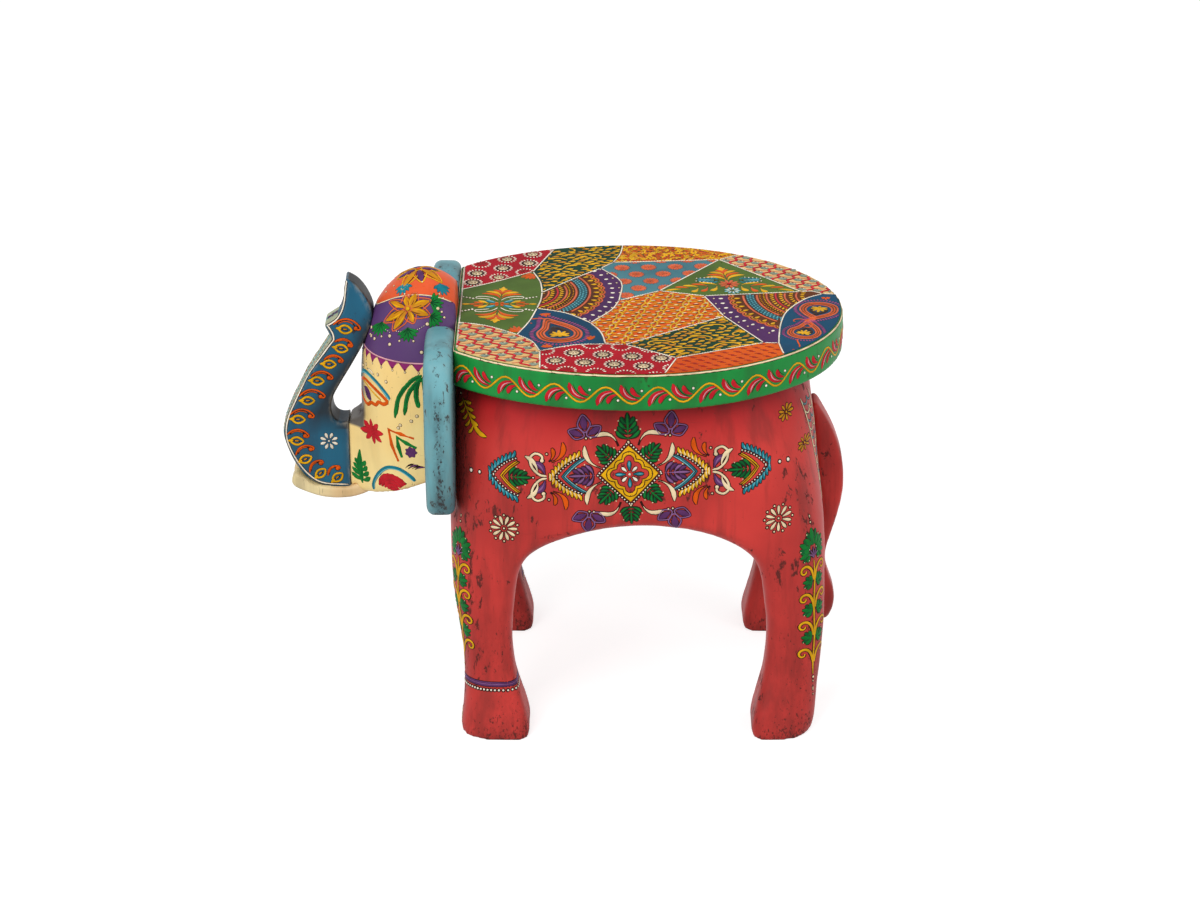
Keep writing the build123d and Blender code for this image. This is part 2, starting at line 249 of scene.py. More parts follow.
def new_group(
    wrap: type[Tree], name: str, inputs: Sequence[tuple], outputs: Sequence[tuple]
) -> tuple[Any, Any, Any]:
    """Starts a node group with named inputs and outputs.

    Args:
        wrap: ShaderTree or PaintTree.
        name: Name of the group.
        inputs: Name and socket type of each input, and its default where it has one.
        outputs: Name and socket type of each output.

    Returns:
        The wrapped tree, the sockets that come in and those that go out.
    """
    tree = bpy.data.node_groups.new(name, "ShaderNodeTree" if wrap is ShaderTree else "GeometryNodeTree")
    for way, sockets in (("INPUT", inputs), ("OUTPUT", outputs)):
        for label, kind, *default in sockets:
            socket = tree.interface.new_socket(label, in_out=way, socket_type=f"NodeSocket{kind}")
            if default:
                socket.default_value = default[0]
    wrapped = wrap(tree)
    return wrapped, wrapped.add("NodeGroupInput").outputs, wrapped.add("NodeGroupOutput").inputs


# ---------------------------------------------------------------- finishes

GLAZE = srgb(46, 22, 20)
PRIMER = srgb(214, 196, 168)
RUBBED_COLOURS = ("Paint", "Shade", "Glaze", "Light", "Worn")
RUBBED_AMOUNTS = ("Glaze Amount", "Streaks", "Scratches", "Cavity", "Edge")


def build_rubbed_group() -> None:
    """Builds the shared effect of old paint: mottled, scratched and rubbed with a dark glaze, plus a painted
    sheen in lighter patches and the painted shade that a surface stores with its glaze.
    """
    inputs = [("Vector", "Vector"), *((label, "Color") for label in RUBBED_COLOURS)]
    inputs += [(label, "Float") for label in RUBBED_AMOUNTS]
    outputs = [("Colour", "Color"), ("Rubbed", "Float"), ("Height", "Float")]
    g, given, made = new_group(ShaderTree, "rubbed_paint", inputs, outputs)
    spot, glaze = given["Vector"], given["Glaze"]
    # Cloudy paint, lighter patches at random as a painted sheen, and long streaks of glaze.
    paint = g.mix(g.step(g.noise(spot, 9.0, 3.0), 0.35, 0.7), given["Paint"], given["Shade"])
    streak = g.noise(g.stretched(spot, (1.0, 1.0, 0.12), (0.06, 0.09, 0.0)), 46.0, 4.0, 0.6)
    sheen_patches = g.step(g.noise(g.stretched(spot, (1.0, 1.0, 0.2)), 24.0, 2.0, 0.5), 0.5, 0.66)
    paint = g.mix(g.times(sheen_patches, 0.5), paint, given["Light"])
    paint = g.mix(g.times(g.step(streak, 0.46, 0.66), given["Streaks"]), paint, glaze)
    # Patches of flecks, and hairline scratches up and across.
    areas = g.step(g.noise(spot, 17.0, 2.0, 0.5), 0.46, 0.6)
    flecks = g.noise(g.stretched(spot, (1.0, 1.0, 0.45)), 150.0, 6.0, 0.72, 0.4)
    bar = g.minus(0.74, g.times(g.times(areas, given["Glaze Amount"]), 0.24))
    patch = g.step(flecks, bar, g.plus(bar, 0.06))
    hair = g.noise(g.stretched(spot, (1.0, 1.0, 0.06), (0.15, 0.2, 0.0)), 700.0, 2.0, 0.5)
    hair_across = g.noise(g.stretched(spot, (0.05, 1.0, 1.0), (0.0, 0.12, 0.1)), 620.0, 2.0, 0.5)
    hairs = g.most(g.step(hair, 0.66, 0.76), g.step(hair_across, 0.68, 0.78))
    hair_areas = g.step(g.noise(spot, 21.0, 2.0, 0.5), 0.42, 0.7)
    hairs = g.times(g.times(hairs, hair_areas), given["Scratches"])
    # Glaze in the hollows, with the painted shade stored alongside it on some surfaces, and fine specks that
    # gather there.
    glaze_and_shade = g.times(g.times(given["Cavity"], g.step(flecks, 0.2, 0.65)), 0.7)
    fine = g.noise(g.stretched(spot, (1.0, 1.0, 0.5)), 430.0, 4.0, 0.7)
    bar = g.minus(0.7, g.times(given["Cavity"], 0.24))
    glaze_and_shade = g.most(glaze_and_shade, g.step(fine, bar, g.plus(bar, 0.05)))
    dark = g.most(g.most(patch, hairs), glaze_and_shade, clamp=True)
    glazed = g.mix(g.times(dark, 0.86), paint, glaze)
    edge = g.times(given["Edge"], g.step(flecks, 0.4, 0.6))
    g.put(made["Colour"], g.mix(edge, glazed, given["Worn"]))
    g.put(made["Rubbed"], g.most(dark, edge, clamp=True))
    g.put(made["Height"], g.minus(g.times(g.noise(spot, 60.0, 3.0, 0.5), 0.6), g.times(dark, 0.35)))


def new_material(name: str) -> tuple[bpy.types.Material, ShaderTree, Any, Socket]:
    """Starts a material and returns it with its tree, its shader's inputs and its object coordinates."""
    material = bpy.data.materials.new(name)
    material.use_nodes = True
    tree = ShaderTree(material.node_tree)
    spot = tree.add("ShaderNodeTexCoord").outputs["Object"]
    return material, tree, material.node_tree.nodes["Principled BSDF"].inputs, spot


def link_bump(tree: ShaderTree, shader: Any, height: Any, strength: float, distance: float) -> None:
    """Feeds a height through a bump into the shader's normal."""
    inputs = {"Height": height, "Strength": strength, "Distance": distance}
    tree.put(shader["Normal"], tree.get("ShaderNodeBump", inputs))


@dataclass(frozen=True)
class RubbedPaint:
    """Brushed paint on carved wood, rubbed with glaze and worn at its edges."""

    name: str
    paint: Colour
    shade: Colour
    glaze: Colour = GLAZE
    worn: Colour = PRIMER
    glaze_amount: float = 0.6
    scratches: float = 0.7
    edge_wear: float = 0.22
    glaze_and_shade: float = 0.9
    roughness: float = 0.42
    streaks: float = 0.28
    gloss: float = 0.2

    def base(self, tree: ShaderTree, spot: Any) -> tuple[Any, Any]:
        """Gives the two colours that the rubbed paint runs between.

        Args:
            tree: Tree of the material.
            spot: Object coordinates.

        Returns:
            The paint and its deeper shade.
        """
        return self.paint, self.shade

    def material(self) -> bpy.types.Material:
        """Builds the material."""
        material, tree, shader, spot = new_material(self.name)
        paint, shade = self.base(tree, spot)
        # Glossy paints get a lighter tone for the patches of painted sheen; the matte seat grounds keep their
        # own colour.
        clean = paint if isinstance(paint, Socket) else toned(paint, 1.3 if self.gloss > 0.1 else 1.0)
        values = {
            "Vector": spot,
            "Paint": paint,
            "Shade": shade,
            "Light": clean,
            "Streaks": self.streaks,
            "Glaze": self.glaze,
            "Worn": self.worn,
            "Glaze Amount": self.glaze_amount,
            "Scratches": self.scratches,
            # The stored hollow value is glaze in the hollows plus, on the body, painted shade.
            "Cavity": tree.times(tree.attribute("cavity"), self.glaze_and_shade),
            "Edge": tree.times(tree.attribute("edge"), self.edge_wear),
        }
        rubbed = tree.add("ShaderNodeGroup", values, node_tree=bpy.data.node_groups["rubbed_paint"]).outputs
        tree.put(shader["Base Color"], rubbed["Colour"])
        tree.put(shader["Roughness"], tree.plus(tree.times(rubbed["Rubbed"], 0.3), self.roughness))
        link_bump(tree, shader, rubbed["Height"], 0.5, 0.0006)
        shader["Specular IOR Level"].default_value = self.gloss
        return material


@dataclass(frozen=True)
class BodyPaint(RubbedPaint):
    """Red paint with a painted shade: deeper crimson towards the seat, where the seat's shadow falls."""

    # Crimson of the painted shade under the seat.
    deep: Colour = srgb(172, 18, 28)
    shade_start_height: float = 268.0
    shade_full_height: float = 330.0

    def base(self, tree: ShaderTree, spot: Any) -> tuple[Any, Any]:
        """Gives the colours, darkened towards the seat as a painted shade."""
        under_seat_shade = tree.step(tree.axes(spot)[2], self.shade_start_height * MM, self.shade_full_height * MM)
        return tree.mix(under_seat_shade, self.paint, self.deep), tree.mix(under_seat_shade, self.shade, self.deep)


@dataclass(frozen=True)
class HeadPaint(RubbedPaint):
    """Cream face under a purple band with a toothed magenta hem and an orange crown."""

    crown: Colour = srgb(236, 92, 44)
    band: Colour = srgb(96, 62, 118)
    hem: Colour = srgb(150, 34, 110)
    shelf: Colour = srgb(104, 98, 92)
    crown_reach: tuple[float, float] = (44.0, 28.0)
    crown_middle: float = -178.0
    hem_height: float = 329.0
    tooth: tuple[float, float] = (12.4, 7.0)
    shelf_corner: tuple[float, float] = (-235.0, 253.0)

    def base(self, tree: ShaderTree, spot: Any) -> tuple[Any, Any]:
        """Gives the colours of the zones of the head."""
        x, y, z = tree.axes(tree.get("ShaderNodeVectorMath", {0: spot, 3: 1 / MM}, operation="SCALE"))
        x = tree.minus(x, ORIGIN_X)
        along = tree.math("DIVIDE", tree.minus(x, self.crown_middle), self.crown_reach[0])
        across = tree.math("DIVIDE", y, self.crown_reach[1])
        crown = tree.step(tree.plus(tree.times(along, along), tree.times(across, across)), 1.04, 1.0)
        turn = tree.math("ARCTAN2", y, tree.minus(x, HEAD_AXIS))
        saw = tree.math("PINGPONG", tree.times(turn, HEAD_RADIUS), self.tooth[0] / 2)
        depth = tree.times(saw, 2 * self.tooth[1] / self.tooth[0])
        hem = tree.step(tree.plus(z, depth), self.hem_height - 0.3, self.hem_height + 0.3)
        band = tree.step(z, self.hem_height - 0.2, self.hem_height + 0.2)
        corner_x, corner_z = self.shelf_corner
        shelf = tree.times(tree.step(x, corner_x + 3, corner_x - 1), tree.step(z, corner_z, corner_z + 3))
        zones = ((hem, self.hem), (band, self.band), (crown, self.crown), (shelf, self.shelf))
        paint, shade = self.paint, self.shade
        for mask, colour in zones:
            paint, shade = tree.mix(mask, paint, colour), tree.mix(mask, shade, toned(colour, 0.8))
        return paint, shade


@dataclass(frozen=True)
class TrunkPaint(RubbedPaint):
    """Blue sides darkened by painted shade in the inner bend and towards the inner edge, and a pale, rubbed
    outer edge with a teal stripe.
    """

    pale: Colour = srgb(176, 182, 146)
    stripe: Colour = srgb(70, 132, 130)
    # Colour of the painted shade on the trunk.
    inner: Colour = srgb(30, 34, 38)

    def base(self, tree: ShaderTree, spot: Any) -> tuple[Any, Any]:
        """Gives the colours of the faces of the trunk."""
        middle = tree.step(tree.math("ABSOLUTE", tree.axes(spot)[1]), 0.0042, 0.0034)
        outer = tree.mix(middle, self.pale, self.stripe)
        colours = []
        for side in (self.paint, self.shade):
            # Painted shade where the surface stores it as inner.
            side = tree.mix(tree.attribute("inner"), side, self.inner)
            colours.append(tree.mix(tree.attribute("outer"), side, outer))
        return colours[0], colours[1]


class Cone(Enum):
    """Colours squeezed out of the paint cones."""

    YELLOW = (238, 178, 24)
    GOLD = (214, 142, 24)
    ORANGE = (228, 92, 18)
    RED = (208, 36, 48)
    CRIMSON = (180, 22, 34)
    ROSE = (232, 170, 180)
    MAGENTA = (206, 40, 90)
    PURPLE = (98, 54, 104)
    MAUVE = (142, 98, 148)
    ORCHID = (162, 72, 128)
    PLUM = (70, 40, 70)
    CORAL = (226, 106, 66)
    MIST = (146, 158, 138)
    LAGOON = (22, 92, 104)
    STRAW = (244, 208, 140)
    GREEN = (22, 124, 52)
    LEAF = (18, 98, 48)
    TEAL = (30, 128, 144)
    SKY = (116, 190, 202)
    CREAM = (246, 222, 180)
    WHITE = (254, 244, 224)
    STEEL = (104, 146, 154)
    BROWN = (112, 54, 24)
    PINE = (14, 64, 38)
    DARK = (40, 22, 20)
    POOL = (56, 24, 20)


(
    YELLOW, GOLD, ORANGE, RED, CRIMSON, ROSE, MAGENTA, PURPLE, MAUVE, ORCHID, PLUM, CORAL, MIST,
    LAGOON, STRAW, GREEN, LEAF, TEAL, SKY, CREAM, WHITE, STEEL, BROWN, PINE, DARK, POOL,
) = Cone  # fmt: skip


@dataclass(frozen=True)
class ConePaint:
    """Thick paint laid by a cone: clean on its crown and dark with glaze at its foot."""

    cone: Cone
    deep: float = 0.72
    foot: tuple[float, float] = (0.02, 0.44)
    gloss: float = 0.06

    def material(self) -> bpy.types.Material:
        """Returns the colour's material, building it on first use."""
        name = f"cone_{self.cone.name.lower()}"
        if name in bpy.data.materials:
            return bpy.data.materials[name]
        material, tree, shader, spot = new_material(name)
        colour = srgb(*self.cone.value)
        paint = tree.mix(tree.step(tree.noise(spot, 90.0, 3.0), 0.35, 0.7), colour, toned(colour, self.deep))
        worn = tree.step(tree.noise(spot, 420.0, 4.0, 0.6), 0.66, 0.74)
        clean = tree.minus(tree.step(tree.attribute("dome"), *self.foot), tree.times(worn, 0.55), clamp=True)
        tree.put(shader["Base Color"], tree.mix(clean, GLAZE, paint))
        tree.put(shader["Roughness"], tree.minus(0.62, tree.times(clean, 0.22)))
        link_bump(tree, shader, tree.noise(spot, 380.0, 2.0), 0.3, 0.0002)
        shader["Specular IOR Level"].default_value = self.gloss
        return material


@dataclass(frozen=True)
class BareWood:
    """Planed mango wood with open grain along one axis."""

    name: str = "bare_mango_wood"
    pale: Colour = srgb(190, 146, 98)
    dark: Colour = srgb(128, 84, 50)
    grain: Place = (9.0, 60.0, 60.0)

    def material(self) -> bpy.types.Material:
        """Builds the material."""
        material, tree, shader, spot = new_material(self.name)
        grain = tree.noise(tree.stretched(spot, self.grain), 3.0, 6.0, 0.6, 0.8)
        tree.put(shader["Base Color"], tree.mix(tree.step(grain, 0.35, 0.68), self.pale, self.dark))
        tree.put(shader["Roughness"], tree.plus(tree.times(grain, 0.2), 0.55))
        link_bump(tree, shader, grain, 0.4, 0.0004)
        return material


# ---------------------------------------------------------------- carved pieces


def link_object(name: str, data: bpy.types.ID) -> Piece:
    """Puts a mesh, a lamp or a camera into the scene under a name."""
    made = bpy.data.objects.new(name, data)
    bpy.context.scene.collection.objects.link(made)
    return made


def freed(shape: bmesh.types.BMesh, mesh: bpy.types.Mesh) -> bpy.types.Mesh:
    """Writes a working shape into a mesh and frees it."""
    shape.to_mesh(mesh)
    shape.free()
    return mesh


def baked(made: Piece) -> Piece:
    """Turns an object's live modifiers into plain mesh and returns the object."""
    bpy.context.view_layer.update()
    graph = bpy.context.evaluated_depsgraph_get()
    mesh = bpy.data.meshes.new_from_object(made.evaluated_get(graph))
    made.modifiers.clear()
    made.data = mesh
    return made


def rows(mesh: bpy.types.Mesh, what: str = "co") -> np.ndarray:
    """Returns the vertices' places or normals, one row each."""
    values = np.empty(len(mesh.vertices) * 3)
    mesh.vertices.foreach_get(what, values)
    return values.reshape(-1, 3)


def store(mesh: bpy.types.Mesh, name: str, values: np.ndarray) -> None:
    """Stores one number for each vertex."""
    mesh.attributes.new(name, "FLOAT", "POINT").data.foreach_set("value", values.astype(np.float32))


def ramp(values: Any, start: float, length: float) -> Any:
    """Rises from 0 at a start to 1 over a length, which may be negative."""
    return np.clip((values - start) / length, 0, 1)


def mark_wear(mesh: bpy.types.Mesh, reach: int, full_edge: float, full_cavity: float) -> None:
    """Stores how far each vertex stands on an edge or lies in a hollow.

    Args:
        mesh: Fine, even mesh.
        reach: Rounds of smoothing, which widen what counts as an edge.
        full_edge: Height over the smoothed surface that counts as a full edge, in metres.
        full_cavity: Depth under it that counts as a full hollow, in metres.
    """
    places = rows(mesh)
    pairs = np.empty(len(mesh.edges) * 2, np.int64)
    mesh.edges.foreach_get("vertices", pairs)
    one, other = pairs.reshape(-1, 2).T
    count = np.bincount(np.concatenate([one, other]), minlength=len(places))[:, None]
    smooth = places.copy()
    for _ in range(reach):
        total = np.zeros_like(smooth)
        for axis in range(3):
            total[:, axis] = np.bincount(one, smooth[other, axis], len(places))
            total[:, axis] += np.bincount(other, smooth[one, axis], len(places))
        smooth = total / count
    proud = ((places - smooth) * rows(mesh, "normal")).sum(axis=1)
    store(mesh, "edge", ramp(proud, full_edge * 0.35, full_edge))
    store(mesh, "cavity", ramp(proud, 0, -full_cavity))


def add_glaze_and_shade(mesh: bpy.types.Mesh, amount: Callable[[np.ndarray, np.ndarray], np.ndarray]) -> None:
    """Adds darkening to the stored glaze, by x and z in millimetres from the seat's middle, for painted shade
    or for glaze that a maker leaves in places.
    """
    x, _, z = (rows(mesh) / MM).T
    kept = mesh.attributes["cavity"].data
    hollow = np.empty(len(kept), np.float32)
    kept.foreach_get("value", hollow)
    kept.foreach_set("value", np.clip(hollow + amount(x - ORIGIN_X, z), 0, 1).astype(np.float32))


def body_shade_and_glaze(x: np.ndarray, z: np.ndarray) -> np.ndarray:
    """Gives darkening for the body: the painted shadow behind the ears, painted shade under the seat, and
    darker towards the soles and on the tail-facing half of each lower leg.
    """
    # Painted shadow of the ears and painted shade under the seat; darker towards the soles and on each lower
    # leg's tail-facing half.
    ears = ramp(x, -130, -14) * ramp(z, 190, 40)
    legs = ramp(z, 150, -60) * ramp(x % 255, 100, 40)
    return 0.85 * ears + 0.4 * ramp(z, 310, 14) + 0.5 * ramp(z, 26, -26) + 0.5 * legs


def ear_soot(x: np.ndarray, z: np.ndarray) -> np.ndarray:
    """Gives the rubbed streak down the outer edge of an ear and its dark rims."""
    off = np.abs(x - (x.max() + x.min()) / 2) / (x.max() - x.min())
    streak = np.exp(-((off / 0.2) ** 2)) * ramp(z, 336, -20)
    return 0.95 * streak + 0.7 * ramp(off, 0.4, 0.08) + 0.3 * ramp(z, 215, -15)


@dataclass
class CarvedPiece:
    """A carved piece, made from its nodes' meshes with the slight waves of a hand tool."""

    name: str
    nodes: tuple[str, ...]
    slot: str
    voxel: float
    smoothing: int = 4
    waves: float = 0.0004
    wave_length: float = 0.035
    edge_reach: int = 12
    full_edge: float = 0.0008
    full_cavity: float = 0.0008

    def build(self, frame: dict) -> Piece:
        """Builds the piece.


        Returns:
            The carved object, riding on the body, without a material.
        """
        shape = bmesh.new()
        for node in self.nodes:
            shape.from_mesh(frame["nodes"][node].data)
        bmesh.ops.remove_doubles(shape, verts=shape.verts, dist=1e-6)
        made = link_object(self.name, freed(shape, bpy.data.meshes.new(self.name)))
        remesh = made.modifiers.new("even", "REMESH")
        remesh.mode = "VOXEL"
        remesh.voxel_size = self.voxel
        made = baked(made)
        self.drop_hollows(made.data)
        relax = made.modifiers.new("relax", "SMOOTH")
        relax.factor = 0.5
        relax.iterations = self.smoothing
        made = baked(made)
        self.wave(made.data)
        made.data.shade_smooth()
        mark_wear(made.data, self.edge_reach, self.full_edge, self.full_cavity)
        made.data.materials.clear()
        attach(made, BODY)
        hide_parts(*self.nodes)
        LOG.info("%s: %d vertices", self.name, len(made.data.vertices))
        return made

    def drop_hollows(self, mesh: bpy.types.Mesh) -> None:
        """Keeps the outer skin only, without the walls of the dowel holes inside."""
        shape = bmesh.new()
        shape.from_mesh(mesh)
        left = set(shape.verts)
        islands = []
        while left:
            seed = left.pop()
            island, edge = [seed], [seed]
            while edge:
                vert = edge.pop()
                for other in (link.other_vert(vert) for link in vert.link_edges):
                    if other in left:
                        left.remove(other)
                        island.append(other)
                        edge.append(other)
            islands.append(island)
        for island in sorted(islands, key=len)[:-1]:
            bmesh.ops.delete(shape, geom=island, context="VERTS")
        freed(shape, mesh)

    def wave(self, mesh: bpy.types.Mesh) -> None:
        """Moves the skin by long, shallow waves."""
        places = rows(mesh)
        spots = map(Vector, places * (1 / self.wave_length))
        swells = [noise.noise(spot) + 0.4 * noise.noise(spot * 2.7) for spot in spots]
        places += rows(mesh, "normal") * np.array(swells)[:, None] * self.waves
        mesh.vertices.foreach_set("co", places.ravel())
        mesh.update()


# ---------------------------------------------------------------- strokes and dots, in millimetres on a sheet

Spot = complex
Polygon = list[Spot]
Ray = tuple[Vector, Vector]
Aim = Callable[[Spot], Ray]
STEPS = 7


def turned(length: float, degrees: float) -> Spot:
    """Returns the point at a distance and an angle from the origin."""
    return cmath.rect(length, math.radians(degrees))


def round_trip(ring: Sequence[Any]) -> Iterable[tuple[Any, Any]]:
    """Pairs each item of a ring with the next one."""
    return zip(ring, [*ring[1:], ring[0]])


def through(knots: Sequence[Spot], steps: int = 4, closed: bool = False) -> Polygon:
    """Draws a smooth line through a few points.

    Args:
        knots: Points on the line.
        steps: Pieces between two points.
        closed: Whether the line runs back to its start.

    Returns:
        The line's points.
    """
    if closed:
        ends = [knots[-1], *knots, knots[0], knots[1]]
    else:
        ends = [2 * knots[0] - knots[1], *knots, 2 * knots[-1] - knots[-2]]
    line = []
    for a, b, c, d in zip(ends, ends[1:], ends[2:], ends[3:]):
        ahead, bend, twist = c - a, 2 * a - 5 * b + 4 * c - d, 3 * b - a - 3 * c + d
        for t in (k / steps for k in range(steps)):
            line.append(0.5 * (2 * b + ahead * t + bend * t * t + twist * t**3))
    return line if closed else [*line, knots[-1]]


def bow(start: Spot, end: Spot, bend: float, steps: int = STEPS) -> Polygon:
    """Draws an even curve between two points, bent to the left by a share of the chord."""
    crown = (start + end) / 2 + 2 * bend * 1j * (end - start)
    shares = (k / steps for k in range(steps + 1))
    return [start * (1 - t) ** 2 + 2 * crown * t * (1 - t) + end * t * t for t in shares]


def evenly(line: Sequence[Spot], gap: float) -> list[tuple[Spot, float]]:
    """Walks a line in even steps.

    Args:
        line: Points of the line.
        gap: Distance between two stops.

    Returns:
        Each stop with the line's direction there, in degrees.
    """
    stops, left = [], gap / 2
    for a, b in zip(line, line[1:]):
        span = abs(b - a)
        while left <= span and span > 0:
            stops.append((a + (b - a) * left / span, math.degrees(cmath.phase(b - a))))
            left += gap
        left -= span
    return stops


def inset(line: Sequence[Spot], distance: float) -> Polygon:
    """Shifts a line to its left by a distance."""
    ways = zip([line[0], *line], [*line[1:], line[-1]])
    return [spot + 1j * (b - a) / abs(b - a) * distance for spot, (a, b) in zip(line, ways)]


@dataclass(frozen=True)
class Stroke:
    """One pull of the cone: its line, its half width at each point and its colour."""

    line: tuple[Spot, ...]
    widths: tuple[float, ...]
    cone: Cone
    lift: float = 0.0
    closed: bool = False


@dataclass(frozen=True)
class Dot:
    """One drop from the cone."""

    spot: Spot
    radius: float
    cone: Cone
    lift: float = 0.0


@dataclass
class Motif:
    """A group of strokes and dots that is placed as one."""

    strokes: list[Stroke] = field(default_factory=list)
    dots: list[Dot] = field(default_factory=list)

    def add(
        self, other: "Motif", at: Spot = 0j, turn: float = 0.0, size: float = 1.0, mirror: bool = False
    ) -> "Motif":
        """Adds a copy of another motif.

        Args:
            other: Motif to copy.
            at: Where its origin goes.
            turn: Its turn in degrees.
            size: Its scale.
            mirror: Whether it is mirrored about its own axis first.

        Returns:
            This motif.
        """
        swing = turned(size, turn)

        def put(spot: Spot) -> Spot:
            """Moves one point into place."""
            return at + swing * (spot.conjugate() if mirror else spot)

        for s in other.strokes:
            self.stroke(map(put, s.line), (w * size for w in s.widths), s.cone, s.lift, s.closed)
        for d in other.dots:
            self.dot(put(d.spot), d.radius * size, d.cone, d.lift)
        return self

    def both(self, other: "Motif", turn: float = 0.0) -> "Motif":
        """Adds a motif and its mirror image about the turned axis."""
        return self.add(other, turn=turn).add(other, turn=turn, mirror=True)

    def copies(self, other: "Motif", spots: Iterable[Spot], turn: float = 0.0) -> "Motif":
        """Adds a copy of a motif on each of some points."""
        for spot in spots:
            self.add(other, spot, turn)
        return self

    def stroke(self, line: Iterable[Spot], widths: Iterable[float], cone: Cone, *rest: Any) -> "Motif":
        """Adds one stroke."""
        self.strokes.append(Stroke(tuple(line), tuple(widths), cone, *rest))
        return self

    def dot(self, spot: Spot, radius: float, cone: Cone, lift: float = 0.0) -> "Motif":
        """Adds one dot."""
        self.dots.append(Dot(spot, radius, cone, lift))
        return self

    def scatter(self, spots: Iterable[Spot], radius: float, cone: Cone, lift: float = 0.0) -> "Motif":
        """Adds a dot on each of some points."""
        for spot in spots:
            self.dot(spot, radius, cone, lift)
        return self

    def beads(self, line: Sequence[Spot], gap: float, radius: float, cone: Cone) -> "Motif":
        """Adds a row of dots along a line."""
        return self.scatter((spot for spot, _ in evenly(line, gap)), radius, cone)

    def line(
        self,
        line: Sequence[Spot],
        width: float,
        cone: Cone,
        lift: float = 0.0,
        closed: bool = False,
        taper: float = 0.5,
    ) -> "Motif":
        """Adds an even line.

        Args:
            line: Points of the line.
            width: Half width.
            cone: Colour.
            lift: Height over the surface.
            closed: Whether the line is a ring.
            taper: Half width of the ends as a share of the line's.

        Returns:
            This motif.
        """
        widths = [width] * len(line)
        if not closed:
            widths[0] = widths[-1] = width * taper
        return self.stroke(line, widths, cone, lift, closed)

    def drop(
        self,
        root: Spot,
        tip: Spot,
        width: float,
        cone: Cone,
        bend: float = 0.0,
        belly: float = 1.6,
        lift: float = 0.0,
        steps: int = STEPS,
    ) -> "Motif":
        """Adds a stroke that swells between its ends.

        Args:
            root: First point.
            tip: Last point.
            width: Largest half width.
            cone: Colour.
            bend: Curve to the left, as a share of the length.
            belly: Place of the widest part: 1 is the middle, more is nearer to the tip.
            lift: Height over the surface.
            steps: Pieces along the stroke.

        Returns:
            This motif.
        """
        shares = (k / steps for k in range(steps + 1))
        widths = (width * max(0.16, math.sin(math.pi * share**belly) ** 0.7) for share in shares)
        return self.stroke(bow(root, tip, bend, steps), widths, cone, lift)

    def pair(self, *settings: Any, **more: Any) -> "Motif":
        """Adds a drop and its mirror image about the X axis."""
        return self.both(Motif().drop(*settings, **more))

    def curl(
        self, root: Spot, heading: float, length: float, turns: tuple[float, float], width: float, cone: Cone,
        steps: int = 14,
    ) -> "Motif":
        """Adds a scroll that winds up towards its end.

        Args:
            root: First point.
            heading: Its direction there, in degrees.
            length: Length of the line.
            turns: Turn in degrees per millimetre at the start and at the end.
            width: Half width at the thickest place.
            cone: Colour.
            steps: Pieces of the line.

        Returns:
            This motif.
        """
        line = [root]
        for k in range(steps):
            heading += (turns[0] + (turns[1] - turns[0]) * (k / steps) ** 1.6) * length / steps
            line.append(line[-1] + turned(length / steps, heading))
        swells = (math.sin(math.pi * min(1.0, 0.25 + 0.75 * k / steps)) for k in range(steps + 1))
        return self.stroke(line, (width * (0.55 + 0.45 * swell) for swell in swells), cone)

    def rosette(
        self, count: int, inner: float, outer: float, width: float, cone: Cone, turn: float = 0.0,
        lift: float = 0.0, steps: int = 5,
    ) -> "Motif":
        """Adds petals round the origin, from an inner to an outer radius."""
        for angle in (turn + 360 * k / count for k in range(count)):
            self.drop(turned(inner, angle), turned(outer, angle), width, cone, 0.0, 1.5, lift, steps)
        return self

    def fan(
        self, count: int, spread: float, length: float, width: float, cone: Cone, bend: float = 0.1,
        shrink: float = 0.35, lift: float = 0.0,
    ) -> "Motif":
        """Adds strokes that spread from the origin around the +X direction.

        Args:
            count: Strokes.
            spread: Angle between the outer two, in degrees.
            length: Length of the middle stroke.
            width: Its half width.
            cone: Colour.
            bend: Outward curve of the side strokes.
            shrink: Share of the length that the outer strokes lose.
            lift: Height over the surface.

        Returns:
            This motif.
        """
        for side in (2 * k / (count - 1) - 1 for k in range(count)):
            reach = length * (1 - shrink * abs(side))
            self.drop(0j, turned(reach, side * spread / 2), width, cone, -bend * side, 1.4, lift, 6)
        return self


# ---------------------------------------------------------------- laying paint on carved surfaces

LAID = (("Geometry", "Geometry"), ("Surface", "Object"), ("Paint", "Material"), ("Tallest", "Float"))
CROWN = ("Crown", "Float", 0.6)
DROP_HEIGHT = 0.0008
POOL_HEIGHT = 0.00022
ON_WOOD = 0.1  # the largest lift that still gathers glaze round its foot


def build_stroke_tree() -> None:
    """Builds the tree that drops lines on a surface and gives them a domed body."""
    inputs = (*LAID, CROWN, ("Sink", "Float", 0.0001), ("Profile Points", "Int", 5))
    g, given, made = new_group(PaintTree, "lay_strokes", inputs, LAID[:1])
    curve, normal = g.landed(g.get("GeometryNodeMeshToCurve", {0: given["Geometry"]}), given["Surface"])
    curve = g.get("GeometryNodeSetCurveNormal", {"Curve": curve, "Normal": normal}, mode="FREE")
    arc = {"Resolution": given["Profile Points"], "Radius": 1.0, "Sweep Angle": math.pi}
    arc, place = g.domed(g.get("GeometryNodeCurveArc", arc, mode="RADIUS"), 1)
    flat = g.get("ShaderNodeCombineXYZ", {1: place[0]})
    arc = g.get("GeometryNodeSetPosition", {"Geometry": arc, "Position": flat})
    arc = g.get("GeometryNodeSetSplineCyclic", {"Geometry": arc, "Cyclic": True})
    body = {"Curve": curve, "Profile Curve": arc, "Scale": g.named("half_width"), "Fill Caps": True}
    rise = g.plus(g.times(g.named("dome"), g.height(given)), g.named("lift"))
    body = g.raised(g.get("GeometryNodeCurveToMesh", body), normal, g.minus(rise, given["Sink"]))
    g.finish(body, given["Paint"], made)


